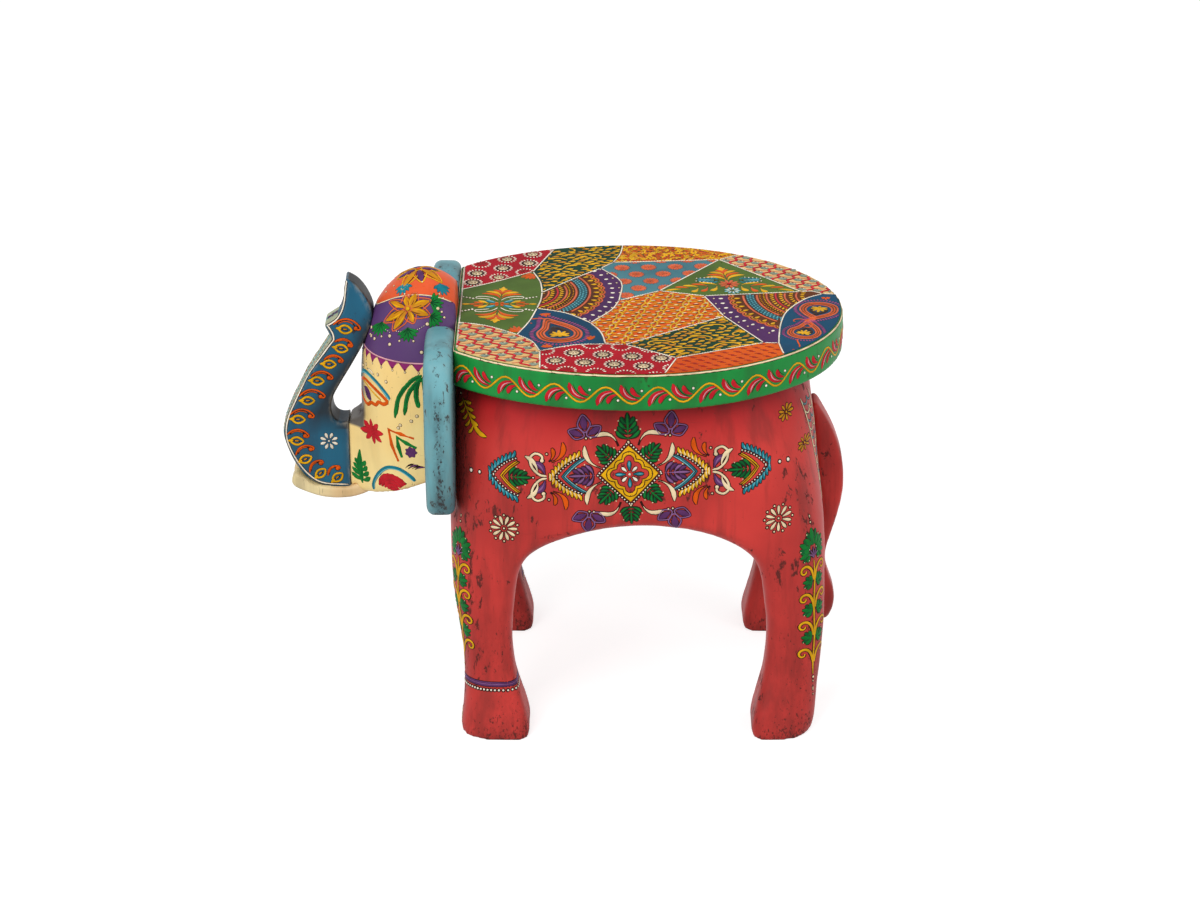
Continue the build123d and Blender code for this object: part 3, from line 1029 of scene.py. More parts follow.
def build_dot_tree() -> None:
    """Builds the tree that sets low drops of paint on a surface."""
    g, given, made = new_group(
        PaintTree, "lay_dots", (*LAID, CROWN, ("Segments", "Int", 7), ("Rings", "Int", 4)), LAID[:1]
    )
    points, normal = g.landed(given["Geometry"], given["Surface"])
    ball = {"Segments": given["Segments"], "Rings": given["Rings"], "Radius": 1.0}
    ball, _ = g.domed(g.get("GeometryNodeMeshUVSphere", ball), 2)
    width = g.named("half_width")
    drops = {
        "Points": g.raised(points, normal, g.named("lift")),
        "Instance": ball,
        "Rotation": g.get("FunctionNodeAlignRotationToVector", {"Vector": normal}, axis="Z"),
        "Scale": g.get("ShaderNodeCombineXYZ", {0: width, 1: width, 2: g.height(given)}),
    }
    g.finish(g.get("GeometryNodeInstanceOnPoints", drops), given["Paint"], made)


@dataclass
class PaintLayer:
    """All cone paint of one sub-assembly, gathered by colour and laid piece by piece."""

    name: str
    surface: Piece
    slot: str
    tallest: float = 0.00045
    halo: float = 0.0
    runs: dict[tuple[Cone, str], list[tuple]] = field(default_factory=dict)

    def draw(self, motif: Motif, aim: Aim) -> None:
        """Takes in a motif.

        Args:
            motif: Strokes and dots in millimetres.
            aim: Turns a point of the sheet into where its ray starts and where it points.
        """
        for s in motif.strokes:
            self.take("strokes", list(map(aim, s.line)), s.widths, s.cone, s.lift, s.closed)
        for d in motif.dots:
            self.take("dots", [aim(d.spot)], (d.radius,), d.cone, d.lift)

    def take(
        self, kind: str, rays: list[Ray], widths: Sequence[float], cone: Cone, lift: float, closed: bool = False
    ) -> None:
        """Takes in a stroke or a dot, with the pool of glaze round its foot where it lies on the wood."""
        layers = [(cone, 0.0, lift)]
        if self.halo and lift <= ON_WOOD and cone is not DARK:
            layers.append((POOL, self.halo, 0.0))
        for colour, more, height in layers:
            run = (rays, [(width + more) * MM for width in widths], height * MM, closed)
            self.runs.setdefault((colour, kind), []).append(run)

    def lay(self) -> list[Piece]:
        """Turns everything drawn into pieces, one for each colour."""
        pieces = []
        for cone in Cone:
            parts = [self.laid(cone, kind) for kind in ("strokes", "dots") if (cone, kind) in self.runs]
            if parts:
                pieces.append(self.join(cone, parts))
        return pieces

    def laid(self, cone: Cone, kind: str) -> Piece:
        """Runs the painting tree on all strokes or dots of one colour.

        Args:
            cone: Colour.
            kind: Either strokes or dots.

        Returns:
            The plain result.
        """
        rays, widths, lifts, edges = [], [], [], []
        for run, half_widths, lift, closed in self.runs[cone, kind]:
            first, last = len(rays), len(rays) + len(run) - 1
            rays += run
            widths += half_widths
            lifts += [lift] * len(run)
            edges += [(k, k + 1) for k in range(first, last)] + [(last, first)] * closed
        name = f"{self.name}_{cone.name.lower()}_{kind}"
        mesh = bpy.data.meshes.new(name)
        mesh.from_pydata([tuple(start) for start, _ in rays], edges, [])
        store(mesh, "half_width", np.array(widths))
        store(mesh, "lift", np.array(lifts))
        aims = mesh.attributes.new("aim", "FLOAT_VECTOR", "POINT")
        aims.data.foreach_set("vector", np.array([tuple(aim) for _, aim in rays], np.float32).ravel())
        made = link_object(name, mesh)
        modifier = made.modifiers.new("paint", "NODES")
        modifier.node_group = bpy.data.node_groups[f"lay_{kind}"]
        heights = {"strokes": (self.tallest, POOL_HEIGHT), "dots": (DROP_HEIGHT, POOL_HEIGHT / 2)}
        values = {
            "Surface": self.surface,
            "Paint": ConePaint(cone).material(),
            "Tallest": heights[kind][cone is POOL],
        }
        for item in modifier.node_group.interface.items_tree:
            if item.name in values:
                modifier[item.identifier] = values[item.name]
        made = baked(made)
        for label in ("half_width", "lift", "aim", "hit_normal", "missed"):
            if label in made.data.attributes:
                made.data.attributes.remove(made.data.attributes[label])
        return made

    def join(self, cone: Cone, parts: list[Piece]) -> Piece:
        """Joins the strokes and dots of one colour and lets them ride on the body."""
        shape = bmesh.new()
        for part in parts:
            shape.from_mesh(part.data)
            bpy.data.objects.remove(part)
        bmesh.ops.recalc_face_normals(shape, faces=shape.faces)
        name = f"{self.name}_{cone.name.lower()}"
        made = link_object(name, freed(shape, bpy.data.meshes.new(name)))
        made.data.materials.append(ConePaint(cone).material())
        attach(made, BODY)
        LOG.info("%s: %d faces", made.name, len(made.data.polygons))
        return made


# ---------------------------------------------------------------- the seat: patchwork top and vine band


def inside(spot: Spot, polygon: Sequence[Spot]) -> bool:
    """Tells whether a point lies in a polygon."""
    hit = False
    for a, b in round_trip(polygon):
        if (a.imag > spot.imag) != (b.imag > spot.imag):
            across = a.real + (spot.imag - a.imag) * (b.real - a.real) / (b.imag - a.imag)
            hit = hit != (spot.real < across)
    return hit


def clip_convex(polygon: Polygon, frame: Polygon) -> Polygon:
    """Cuts a polygon down to what lies in a convex frame that runs anticlockwise."""
    for a, b in round_trip(frame):
        kept = []
        for p, q in round_trip(polygon):
            left_p, left_q = (((b - a).conjugate() * (s - a)).imag for s in (p, q))
            if left_p >= 0:
                kept.append(p)
            if left_p * left_q < 0:
                kept.append(p + (q - p) * left_p / (left_p - left_q))
        polygon = kept
    return polygon


def trimmed(motif: Motif, polygon: Sequence[Spot]) -> Motif:
    """Cuts a motif at a polygon's edge.

    Args:
        motif: Motif that may stick out.
        polygon: Outline to keep to.

    Returns:
        The strokes and dots inside.
    """
    made = Motif()
    for d in motif.dots:
        probes = [d.spot + turned(d.radius, 60 * k) for k in range(6)] if d.radius > 2 else [d.spot]
        if all(inside(probe, polygon) for probe in probes):
            made.dots.append(d)
    for s in motif.strokes:
        flags = [inside(spot, polygon) for spot in s.line]
        if all(flags):
            made.strokes.append(s)
            continue
        start = 0
        for k, flag in enumerate([*flags, False]):
            if flag:
                continue
            if k - start > 1:
                made.stroke(s.line[start:k], s.widths[start:k], s.cone, s.lift)
            start = k + 1
    return made


def grid(
    polygon: Sequence[Spot], across: float, along: float, turn: float = 0.0, stagger: bool = True,
    origin: Spot = 0j,
) -> Polygon:
    """Spreads points over a polygon in rows.

    Args:
        polygon: Area to fill, with a margin of one step.
        across: Step in a row.
        along: Step between rows.
        turn: Turn of the rows in degrees.
        stagger: Whether every other row is shifted by half a step.
        origin: A point of the grid.

    Returns:
        The points.
    """
    swing = turned(1.0, turn)
    local = [(spot - origin) / swing for spot in polygon]
    low_x, high_x = min(s.real for s in local), max(s.real for s in local)
    low_y, high_y = min(s.imag for s in local), max(s.imag for s in local)
    spots = []
    for row in range(math.floor(low_y / along), math.ceil(high_y / along) + 1):
        shift = across / 2 if stagger and row % 2 else 0.0
        for step in range(math.floor(low_x / across) - 1, math.ceil(high_x / across) + 1):
            spots.append(origin + swing * complex(step * across + shift, row * along))
    return spots


def coin_flower() -> Motif:
    """Draws the round cream flower with its dark ring and white beads."""
    flower = Motif().dot(0j, 6.9, POOL, -0.3).rosette(16, 6.1, 9.1, 0.92, WHITE, 10, 0.1, 3)
    return flower.dot(0j, 5.3, CREAM).rosette(7, 0.8, 5.0, 0.42, BROWN, lift=1.2, steps=3)


def plume(tiers: Sequence[tuple[Cone, float, float]], bud: float) -> Motif:
    """Draws a fountain of arched strokes with a bud on top, along +X.

    Args:
        tiers: Colour, height and reach of each pair of strokes.
        bud: Height of the bud's tip.

    Returns:
        The plume.
    """
    made = Motif()
    for cone, height, reach in tiers:
        made.pair(complex(height - 9.5, 0.7), complex(height, reach), 2.4, cone, -0.24, 1.35, steps=8)
    made.drop(complex(bud - 13, 0), complex(bud, 0), 2.4, YELLOW, 0.0, 1.5)
    return made.pair(complex(bud - 11, 0.5), complex(bud - 4.5, 4.2), 1.5, YELLOW, -0.2, 1.5)


def spray() -> Motif:
    """Draws a leafy tip of yellow and orange leaves along +X."""
    made = Motif().drop(1.5 + 0j, 9 + 0j, 1.3, ORANGE)
    made.pair(9.5 + 0.6j, 19 + 7.5j, 2.3, YELLOW, 0.1, 1.7).pair(13.5 + 0.5j, 23 + 4.2j, 1.9, ORANGE, 0.1, 1.6)
    return made.drop(18 + 0j, 27 + 0j, 1.5, ORANGE).drop(24 + 0j, 33 + 0j, 1.7, YELLOW)


def lotus_cross() -> Motif:
    """Draws the cross of plumes, sprays, white loops and teal leaves."""
    crest = plume([(ORANGE, 23.0, 17.5), (YELLOW, 28.0, 14.5), (ORANGE, 32.0, 8.5)], 40.0)
    made = Motif().add(crest, turn=86).add(crest, turn=-94, size=1.08).add(spray(), turn=180).add(spray())
    made.rosette(4, 0.8, 5.4, 1.9, ORANGE, 45)
    quarter = Motif().drop(3 + 2j, 12.5 + 7.2j, 2.5, TEAL, 0.1, 1.2)
    quarter.drop(4.5 + 3.2j, 11.5 + 7.2j, 1.0, SKY, 0.1, 1.2, 0.4)
    loop = [0.8 + 8j, 6 + 14.5j, 13 + 17.5j, 20 + 17j, 20.5 + 13.5j, 14 + 12.5j, 8 + 10.5j]
    quarter.line(through(loop, 3), 0.62, WHITE)
    for k in range(4):
        quarter.dot(complex(23.5 + 2.9 * k, 12.5 + 1.3 * k), 1.35 - 0.14 * k, WHITE)
    return made.both(quarter).both(quarter, 180)


def paisley(size: float = 1.0, tail: float = 1.0) -> Motif:
    """Draws a drop with two rings, a fringe and a palmette; its tip points along +Y.

    Args:
        size: Scale.
        tail: Side to which the tip bends, 1 or -1.

    Returns:
        The paisley.
    """
    made = Motif()
    outline = [0 - 22j, 15 - 16j, 19 - 1j, 12 + 13j, 0 + 25j, -9 * tail + 31j, -13 + 12j, -19 - 1j, -15 - 16j]
    rings = (
        (0.84, 4.4, BROWN, -0.18),
        (1.0, 1.1, CORAL, 0.0),
        (0.7, 1.0, CORAL, 0.0),
        (0.85, 0.9, ORANGE, 0.0),
        (0.36, 3.6, DARK, -0.15),
    )
    for scale, width, cone, lift in rings:
        ring = through([spot * scale for spot in outline], 5, closed=True)
        made.line(ring, width, cone, lift, closed=True)
    fringe = through([spot * 1.13 for spot in outline], 6, closed=True)
    for spot, heading in evenly([*fringe, fringe[0]], 3.0):
        made.drop(spot, spot + turned(5.2, heading - 90), 1.15, ORCHID, 0.0, 1.0, steps=3)
    made.add(Motif().fan(7, 190, 13.0, 1.9, YELLOW), -8j, 90).dot(-9j, 1.8, YELLOW)
    made.curl(complex(-8 * tail, 30), 150, 26, (2.0 * tail, 17.0 * tail), 1.1, ORANGE)
    return Motif().add(made, size=size)


def leafy_curls(polygon: Polygon, dice: random.Random) -> Motif:
    """Fills an area with rows of short leaning leaves that run round long scrolls."""
    made, taken = Motif(), []
    for k, spot in enumerate(grid(polygon, 38.0, 21.0, 16)):
        side, turn = (-1, 1)[k % 2], dice.uniform(-4, 20)
        scroll = through([-15 - 2j, -8 + 3.5j, 2 + 4j, 8 + 0.5j, 8.5 - 4j, 5 - 5.5j, 3 - 3j], 3)
        path = [spot + turned(1.0, turn) * complex(at.real * side, at.imag) for at in scroll]
        taken += path
        made.line(path, 0.9, YELLOW)
    for spot in grid(polygon, 8.7, 4.9, 9):
        spot += complex(dice.uniform(-0.8, 0.8), dice.uniform(-0.4, 0.4))
        sweep = 13 * math.sin(spot.real / 10 + spot.imag / 8)
        step = turned(dice.uniform(7.0, 8.6), 10 + sweep + dice.uniform(-9, 9))
        cone = (GOLD, YELLOW, YELLOW)[dice.randrange(3)]
        if min(abs(spot + step * share - at) for at in taken for share in (0.25, 0.7)) > 1.5:
            made.drop(spot, spot + step, 1.85, cone, math.copysign(0.13, sweep), 1.7, steps=5)
    return made


def ogee_net(polygon: Polygon, turn: float, lean: float, wide: float = 14.3, high: float = 12.0) -> Motif:
    """Fills an area with leaning rows of cells, each with a red side, a thin top and a mottled flower.

    Args:
        polygon: Area to fill.
        turn: Turn of the rows in degrees.
        lean: Shift from one row to the next.
        wide: Width of a cell.
        high: Height of a row.

    Returns:
        The net.
    """
    left, bulge = -wide / 2, math.copysign(0.8, lean)
    side = [complex(left - lean / 2, high / 2), complex(left - lean / 2 - bulge, high / 5)]
    side += [complex(left + lean / 2 + bulge, -high / 5), complex(left + lean / 2, -high / 2)]
    cell = Motif().line(through(side, 3), 1.3, RED, 0.25, taper=0.9)
    cell.line(bow(side[0] + 1.2, side[0] + wide - 1.2, -0.1, 5), 0.6, CORAL)
    cell.drop(complex(0.62 * left, 0), complex(-0.62 * left, 0), 0.36 * high, STRAW, 0.0, 1.0, -0.15)
    cell.drop(-3.9 + 0j, 3.9 + 0j, 3.5, MIST, 0.0, 1.0, 0.12).dot(1.4 + 1.0j, 0.8, CREAM, 0.3)
    for speck, cone in ((-1.8 - 0.6j, STEEL), (-0.4 + 1.6j, DARK), (1.2 - 1.7j, STEEL)):
        cell.dot(speck, 0.6, cone, 0.3)
    middle, swing = sum(polygon) / len(polygon), turned(1.0, turn)
    cells = (
        complex(column * wide - row * lean, row * high) for row in range(-9, 10) for column in range(-9, 10)
    )
    return Motif().copies(cell, (middle + swing * at for at in cells), turn)


def arcs(centre: Spot, radius: float, start: float, end: float) -> Polygon:
    """Draws an arc round a centre, in steps of about five millimetres."""
    steps = max(6, int(abs(end - start) / 360 * 2 * math.pi * radius / 5))
    return [centre + turned(radius, start + (end - start) * k / steps) for k in range(steps + 1)]


def shell_fan(centre: Spot, outer: float, start: float, end: float) -> Motif:
    """Draws the bands of a fan round its centre.

    Args:
        centre: Centre of the arcs.
        outer: Radius of the scalloped edge.
        start: First angle in degrees.
        end: Last angle in degrees.

    Returns:
        The fan without its purple border's ground.
    """
    made = Motif().line(arcs(centre, outer - 19.5, start, end), 4.8, LAGOON, -0.15)
    bands = ((13.5, 1.1), (25.5, 1.1), (34, 1.0), (42, 0.95), (50, 1.0), (60, 0.95))
    for depth, width in bands:
        made.line(arcs(centre, max(4.0, outer - depth), start, end), width, RED if depth == 42 else CORAL)
    scallop = Motif().drop(-5 + 0j, 1 + 0j, 1.9, YELLOW)
    for reach, cone in ((5.8, CORAL), (3.4, GOLD)):
        scallop.line(through([turned(reach, angle) for angle in (-85, -45, 0, 45, 85)], 2), 0.8, cone)
    for spot, heading in evenly(arcs(centre, outer - 6, start, end), 9.6):
        made.add(scallop, spot, heading - 90)
    for spot, heading in evenly(arcs(centre, outer - 19.5, start, end), 4.0):
        for reach, side, radius in ((2.7, 90, 0.85), (2.7, -90, 0.85), (1.9, 0, 0.95)):
            made.dot(spot + turned(reach, heading + side), radius, SKY)
    for spot, heading in evenly(arcs(centre, outer - 29.8, start, end), 3.6):
        made.dot(spot + turned(1.7, heading + 90), 0.95, YELLOW)
        made.dot(spot + turned(1.9, heading - 60), 0.85, GOLD)
    for inset_by in (-38, -46, -55, -65):
        for spot, heading in evenly(arcs(centre, max(3.0, outer + inset_by), start, end), 4.4):
            made.add(Motif().drop(-2.8 + 0j, 2.8 + 1j, 1.15, YELLOW, 0.2, steps=4), spot, heading - 60)
    for spot, heading in evenly(arcs(centre, outer + 6.5, start, end), 11.0):
        made.add(Motif().drop(-2.2 + 0j, 2.2 + 0j, 1.6, WHITE, 0, 1.0, steps=4), spot, heading - 90)
        made.dot(spot + turned(6.2, heading - 90), 1.0, CREAM)
    return made


def chain_net(polygon: Polygon) -> Motif:
    """Fills an area with leaning yellow chains, cross threads and short dashes."""
    loop = Motif().both(Motif().line(bow(-7.5 + 0j, 7.5 + 0j, 0.17, 5), 0.95, YELLOW))
    for side in (-1, 1):
        loop.add(Motif().line(bow(2 + 0j, 2 - 15j, 0.1 * side, 5), 0.62, YELLOW), side * 2 + 0j, 8 * side)
    lean = 77.0
    made = Motif().copies(loop, grid(polygon, 13.0, 17.0, lean, stagger=False, origin=-10 - 20j), lean)
    dash = Motif().drop(-2.9 + 0j, 2.9 + 0j, 1.1, BROWN, 0, 1.0, -0.2, 4)
    dash.drop(-2.1 + 0.4j, 2.0 + 0.4j, 0.85, CREAM, 0, 1.0, 0.4, 3)
    return made.copies(dash, grid(polygon, 9.0, 6.4, 8, origin=-3 - 16j), 12)


# Corners of the patches, in millimetres from the seat's middle, and the bends of the borders between them.
CORNERS: dict[str, Spot] = {
    "a": -64 + 152j, "b": -5 + 165j, "c": -87 + 83j, "d": -165 + 31j, "far left": -165 + 165j,
    "e": -78 + 33j, "f": -26 + 91j, "g": -15 + 105j, "h": -82 - 4j, "i": -98 - 63j, "j": -165 - 33j,
    "near left": -165 - 165j, "k": -78 - 99j, "l": -77 - 165j, "n": -22 - 84j, "o": -35 - 37j,
    "p": -10 + 14j, "q": 26 + 37j, "r": 81 + 112j, "s": 122 + 140j, "t": 151 + 35j, "u": 65 + 25j,
    "v": 81 - 22j, "w": 113 - 81j, "x": 126 - 82j, "y": 137 - 140j, "z": 170 + 30j, "end": 205 + 26j,
    "near end": 205 - 140j, "bb": -5 - 85j, "cc": 38 - 114j, "dd": 20 - 170j, "far end": 205 + 140j,
}  # fmt: skip
CURVES: dict[tuple[str, str], tuple[Spot, ...]] = {
    ("c", "e"): (-80 + 58j,), ("e", "h"): (-79 + 14j,), ("h", "i"): (-88 - 33j,), ("j", "i"): (-128 - 42j,),
    ("i", "k"): (-85 - 78j,), ("h", "o"): (-56 - 15j,), ("o", "n"): (-26 - 58j,), ("k", "n"): (-49 - 86j,),
    ("b", "g"): (-8 + 128j,), ("f", "p"): (-8 + 58j,), ("p", "o"): (-17 - 8j,), ("x", "y"): (129 - 104j,),
    ("z", "x"): (154 + 18j, 137 - 9j, 130 - 37j, 127 - 65j), ("e", "f"): (-50 + 66j,),
    ("z", "end"): (188 + 28j,), ("d", "c"): (-122 + 57j,), ("t", "z"): (160 + 36j,),
}  # fmt: skip
# Centre and radius of the two fans, by the first corner of their patches.
FANS: dict[str, tuple[Spot, float]] = {"e": (-103 + 33j, 81.0), "u": (174 + 24j, 88.0)}


class Ground(Enum):
    """Grounds of the patches: paint and its deeper shade."""

    RED = ((192, 18, 38), (168, 12, 32))
    FOREST = ((16, 66, 44), (10, 48, 34))
    OLIVE = ((86, 114, 46), (70, 94, 38))
    CREAM = ((234, 194, 132), (222, 172, 106))
    OCEAN = ((14, 74, 106), (10, 56, 84))
    RUST = ((98, 50, 18), (66, 32, 14))
    PURPLE = ((82, 42, 94), (66, 34, 80))
    SLATE = ((84, 140, 150), (66, 116, 128))
    ORANGE = ((228, 98, 22), (208, 76, 18))
    AMBER = ((212, 110, 20), (186, 78, 14))

    def finish(self) -> RubbedPaint:
        """Returns the rubbed paint of this ground."""
        paint, shade = (srgb(*levels) for levels in self.value)
        wear = {
            "glaze_amount": 0.4, "scratches": 0.4, "edge_wear": 0.0, "glaze_and_shade": 0.0, "streaks": 0.1, "gloss": 0.03
        }
        return RubbedPaint(f"patch_{self.name.lower()}_paint", paint, shade, **wear)


@dataclass
class PaintedSeat:
    """The seat's patchwork top with its white cords, and the green band with its vine."""

    slab: Piece
    centre_x: float
    top: float
    thick: float = 34.0
    rear_reach: float = 186.0
    front_reach: float = 198.0
    half_width: float = 150.0
    neck: float = -152.0
    plate: float = 0.35
    sink: float = 0.4
    seed: int = 11

    def oval(self, inset: float, steps: int = 96) -> Polygon:
        """Returns the seat's outline, smaller by an inset, anticlockwise."""
        spots = []
        for k in range(steps):
            angle = 2 * math.pi * k / steps
            reach = (self.rear_reach if math.cos(angle) > 0 else self.front_reach) - inset
            x, y = reach * math.cos(angle), (self.half_width - inset) * math.sin(angle)
            spots.append(complex(max(x, self.neck + inset), y))
        return spots

    def border(self, start: str, end: str) -> Polygon:
        """Returns the line between two corners, without the last one."""
        if (end, start) in CURVES:
            return through([CORNERS[end], *CURVES[end, start], CORNERS[start]])[:0:-1]
        if (start, end) in CURVES:
            return through([CORNERS[start], *CURVES[start, end], CORNERS[end]])[:-1]
        return [CORNERS[start]]

    def patch(self, names: str) -> Polygon:
        """Returns a patch's outline inside the seat, from its corners' names split by commas."""
        outline = [spot for pair in round_trip(names.split(",")) for spot in self.border(*pair)]
        area = sum((a.conjugate() * b).imag for a, b in round_trip(outline))
        return clip_convex(outline if area > 0 else outline[::-1], self.oval(2.2))

    def patches(self) -> list[tuple[str, Ground, Callable[[Polygon], Motif]]]:
        """Lists each patch's corners, its ground and what fills it."""
        dice = random.Random(self.seed)

        def coins(origin: Spot, across: float, along: float, turn: float) -> Callable[[Polygon], Motif]:
            """Makes a filler of round flowers."""
            return lambda area: Motif().copies(coin_flower(), grid(area, across, along, turn, origin=origin))

        def dashes(area: Polygon) -> Motif:
            """Fills an area with pairs of small red dashes."""
            pair = Motif().drop(-3.4 + 0.9j, 2 + 0.9j, 0.8, CRIMSON, steps=3)
            pair.drop(-1 - 1j, 4.2 - 1j, 0.8, CRIMSON, steps=3)
            return Motif().copies(pair, grid(area, 11.5, 6.6, 8))

        def mottle(area: Polygon) -> Motif:
            """Fills an area with small yellow and red strokes on a loose grid."""
            made, wild = Motif(), 2.0
            for spot in grid(area, 7.4, 6.2):
                spot += complex(dice.uniform(-wild, wild), dice.uniform(-wild, wild))
                tuft = Motif().add(Motif().fan(3, 120, 6.6, 1.2, YELLOW, 0.2, 0.1), turn=dice.uniform(0, 360))
                tuft.drop(-4 - 3j, 1 - 3j, 1.0, RED, 0.1, steps=3).drop(2 + 3j, 5 + 1j, 0.9, PINE, 0.1, steps=3)
                made.add(tuft, spot, dice.uniform(-wild, wild) * 12)
            return made

        def red_flowers(area: Polygon) -> Motif:
            """Fills an area with loose red flowers."""
            flower = Motif().rosette(15, 1.0, 7.6, 1.3, CORAL, steps=4).rosette(
                8, 0.4, 4.4, 0.9, CORAL, 15, 0.3, 3
            )
            return Motif().copies(flower, grid(area, 24.0, 16.5, 3, origin=-7 + 92j))

        def curls(area: Polygon) -> Motif:
            """Fills an area with leafy scrolls."""
            return leafy_curls(area, dice)

        def lone(motif: Motif) -> Callable[[Polygon], Motif]:
            """Makes a filler of one motif."""
            return lambda area: motif

        return [
            ("a,c,d,far left", Ground.RED, coins(-111 + 113j, 26.0, 18.0, 28.0)),
            ("a,c,e,f,g,b", Ground.FOREST, curls),
            ("c,e,h,i,j,d", Ground.OLIVE, lambda area: self.corner_leaves().add(lotus_cross(), -115 + 6j)),
            ("j,i,k,l,near left", Ground.CREAM, lambda area: ogee_net(area, 8, 5.0)),
            ("h,o,n,k,i", Ground.OCEAN, lone(self.leafy_paisley())),
            ("e,f,p,o,h", Ground.RUST, lone(shell_fan(*FANS["e"], -62, 62))),
            ("f,g,r,q,p", Ground.SLATE, red_flowers),
            ("g,r,s,b", Ground.AMBER, mottle),
            ("p,q,u,v,bb,n,o", Ground.ORANGE, chain_net),
            ("r,q,u,t", Ground.OLIVE, lone(Motif().add(self.triangle_lotus(), 88 + 53j))),
            ("r,t,z,end,far end,s", Ground.CREAM, lambda area: ogee_net(area, -12, -3.4, 13.6, 10.8)),
            ("u,t,z,x,w,v", Ground.RUST, lone(shell_fan(*FANS["u"], 140, 262))),
            ("z,end,near end,y,x", Ground.OCEAN, lone(self.double_paisley())),
            ("v,w,cc,bb", Ground.FOREST, curls),
            ("k,n,bb,cc,dd,l", Ground.RED, coins(-49 - 103j, 25.0, 19.0, -9.0)),
            ("cc,w,x,y,dd", Ground.ORANGE, dashes),
        ]

    def corner_leaves(self) -> Motif:
        """Draws the orange leaf fans in the corners of the first lotus patch."""
        leaf = Motif().fan(7, 120, 15, 1.7, ORANGE)
        return Motif().add(leaf, -84 + 74j, 200).add(leaf, -97 - 58j, 108)

    def leafy_paisley(self) -> Motif:
        """Draws the first paisley with the small leaf tufts beside it."""
        tuft = Motif().fan(5, 130, 9, 1.4, ORANGE)
        made = Motif().add(paisley(1.0, 1.0), -62 - 58j, 6)
        return made.add(tuft, -75 - 15j, -80).add(tuft, -72 - 92j, 90).add(tuft, -32 - 72j, 150)

    def triangle_lotus(self) -> Motif:
        """Draws the lotus of the three-cornered patch around its flower."""
        made = Motif().rosette(10, 1.5, 9.8, 1.8, CORAL).dot(0j, 1.9, RED, 0.3)
        tiers = [(YELLOW, 18.0, 18.0), (ORANGE, 23.5, 15.0), (YELLOW, 29.0, 12.0), (ORANGE, 33.0, 6.0)]
        made.add(plume(tiers, 41.0), 1j, 100)
        leaf = Motif().drop(0j, 20 + 0j, 1.0, SKY)
        for k in range(5):
            half = Motif().drop(
                complex(3.4 * k, 0.4), complex(3.4 * k + 5.5, 6.2 - 0.9 * k), 1.3, TEAL, 0.1, 1.7
            )
            leaf.both(half.dot(complex(3.4 * k + 6.2, 6.8 - 0.9 * k), 0.8, WHITE))
        twig = Motif().drop(42 - 12.5j, 57 - 16.5j, 2.0, YELLOW, 0.1, 1.6)
        for k in range(4):
            root = complex(10 + 8.4 * k, -3.0 - 2.6 * k)
            twig.drop(
                root, root + complex(17.0 - 1.2 * k, 5.6 - 0.9 * k), 2.1, (YELLOW, ORANGE)[k % 2], 0.14, 1.7
            )
            if k < 3:
                tip = root + complex(7.0, 1.4 * k - 13.0)
                twig.drop(root + 1 - 2j, tip, 2.9, (YELLOW, ORANGE)[k % 2], -0.16, 2.3)
        made.add(leaf, 9 + 8.7j, 4).add(leaf, -9 + 8.7j, 176).add(twig).add(twig, turn=180, mirror=True)
        flower = Motif().rosette(9, 1.5, 7.8, 1.5, SKY).rosette(9, 2.0, 6.4, 0.6, WHITE, lift=0.35, steps=3)
        return made.add(flower, 2.5 - 15.5j)

    def double_paisley(self) -> Motif:
        """Draws the two linked paisleys at the rear end."""
        made = Motif().add(paisley(0.86, -1.0), 164 - 9j, 168).add(paisley(0.74, 1.0), 150 - 56j, -24)
        made.curl(142 - 74j, -95, 26, (2.5, -14.0), 0.8, ORANGE)
        return made.add(Motif().fan(5, 150, 7, 1.0, ORANGE), 172 + 22j, -90)

    def build(self) -> list[Piece]:
        """Builds the patches, their patterns, the cords between them and the band."""
        plates = self.build_plates()
        top = PaintLayer("seat_top", plates, "painted_seat", halo=0.28)
        for names, _, fill in self.patches():
            area = self.patch(names)
            centre = sum(area) / len(area)
            inner = [spot + (centre - spot) / abs(centre - spot) * 1.0 for spot in area]
            top.draw(trimmed(fill(area), inner), self.aim_down)
        top.draw(self.cords(), self.aim_down)
        return [plates, *top.lay(), *self.build_band()]

    def build_plates(self) -> Piece:
        """Builds the painted grounds as one thin skin on the slab."""
        shape = bmesh.new()
        grounds = list(Ground)
        for names, ground, _ in self.patches():
            self.add_plate(shape, self.patch(names), grounds.index(ground))
            if ground is Ground.RUST:
                self.add_border_plate(shape, names, grounds.index(Ground.PURPLE))
        bmesh.ops.recalc_face_normals(shape, faces=shape.faces)
        made = link_object("seat_patchwork", freed(shape, bpy.data.meshes.new("seat_patchwork")))
        for ground in grounds:
            made.data.materials.append(ground.finish().material())
        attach(made, BODY)
        return made

    def add_plate(self, shape: bmesh.types.BMesh, outline: Polygon, material: int, rise: float = 0.0) -> None:
        """Adds one closed thin plate to the skin."""
        rings = []
        for flat in (self.top - self.sink * MM, self.top + self.plate * MM + rise):
            rings.append([shape.verts.new((self.centre_x + s.real * MM, s.imag * MM, flat)) for s in outline])
            shape.faces.new(rings[-1]).material_index = material
        for (a, b), (d, c) in zip(*map(round_trip, rings)):
            shape.faces.new((a, b, c, d)).material_index = material
        bmesh.ops.triangulate(shape, faces=[face for face in shape.faces if len(face.verts) > 4])

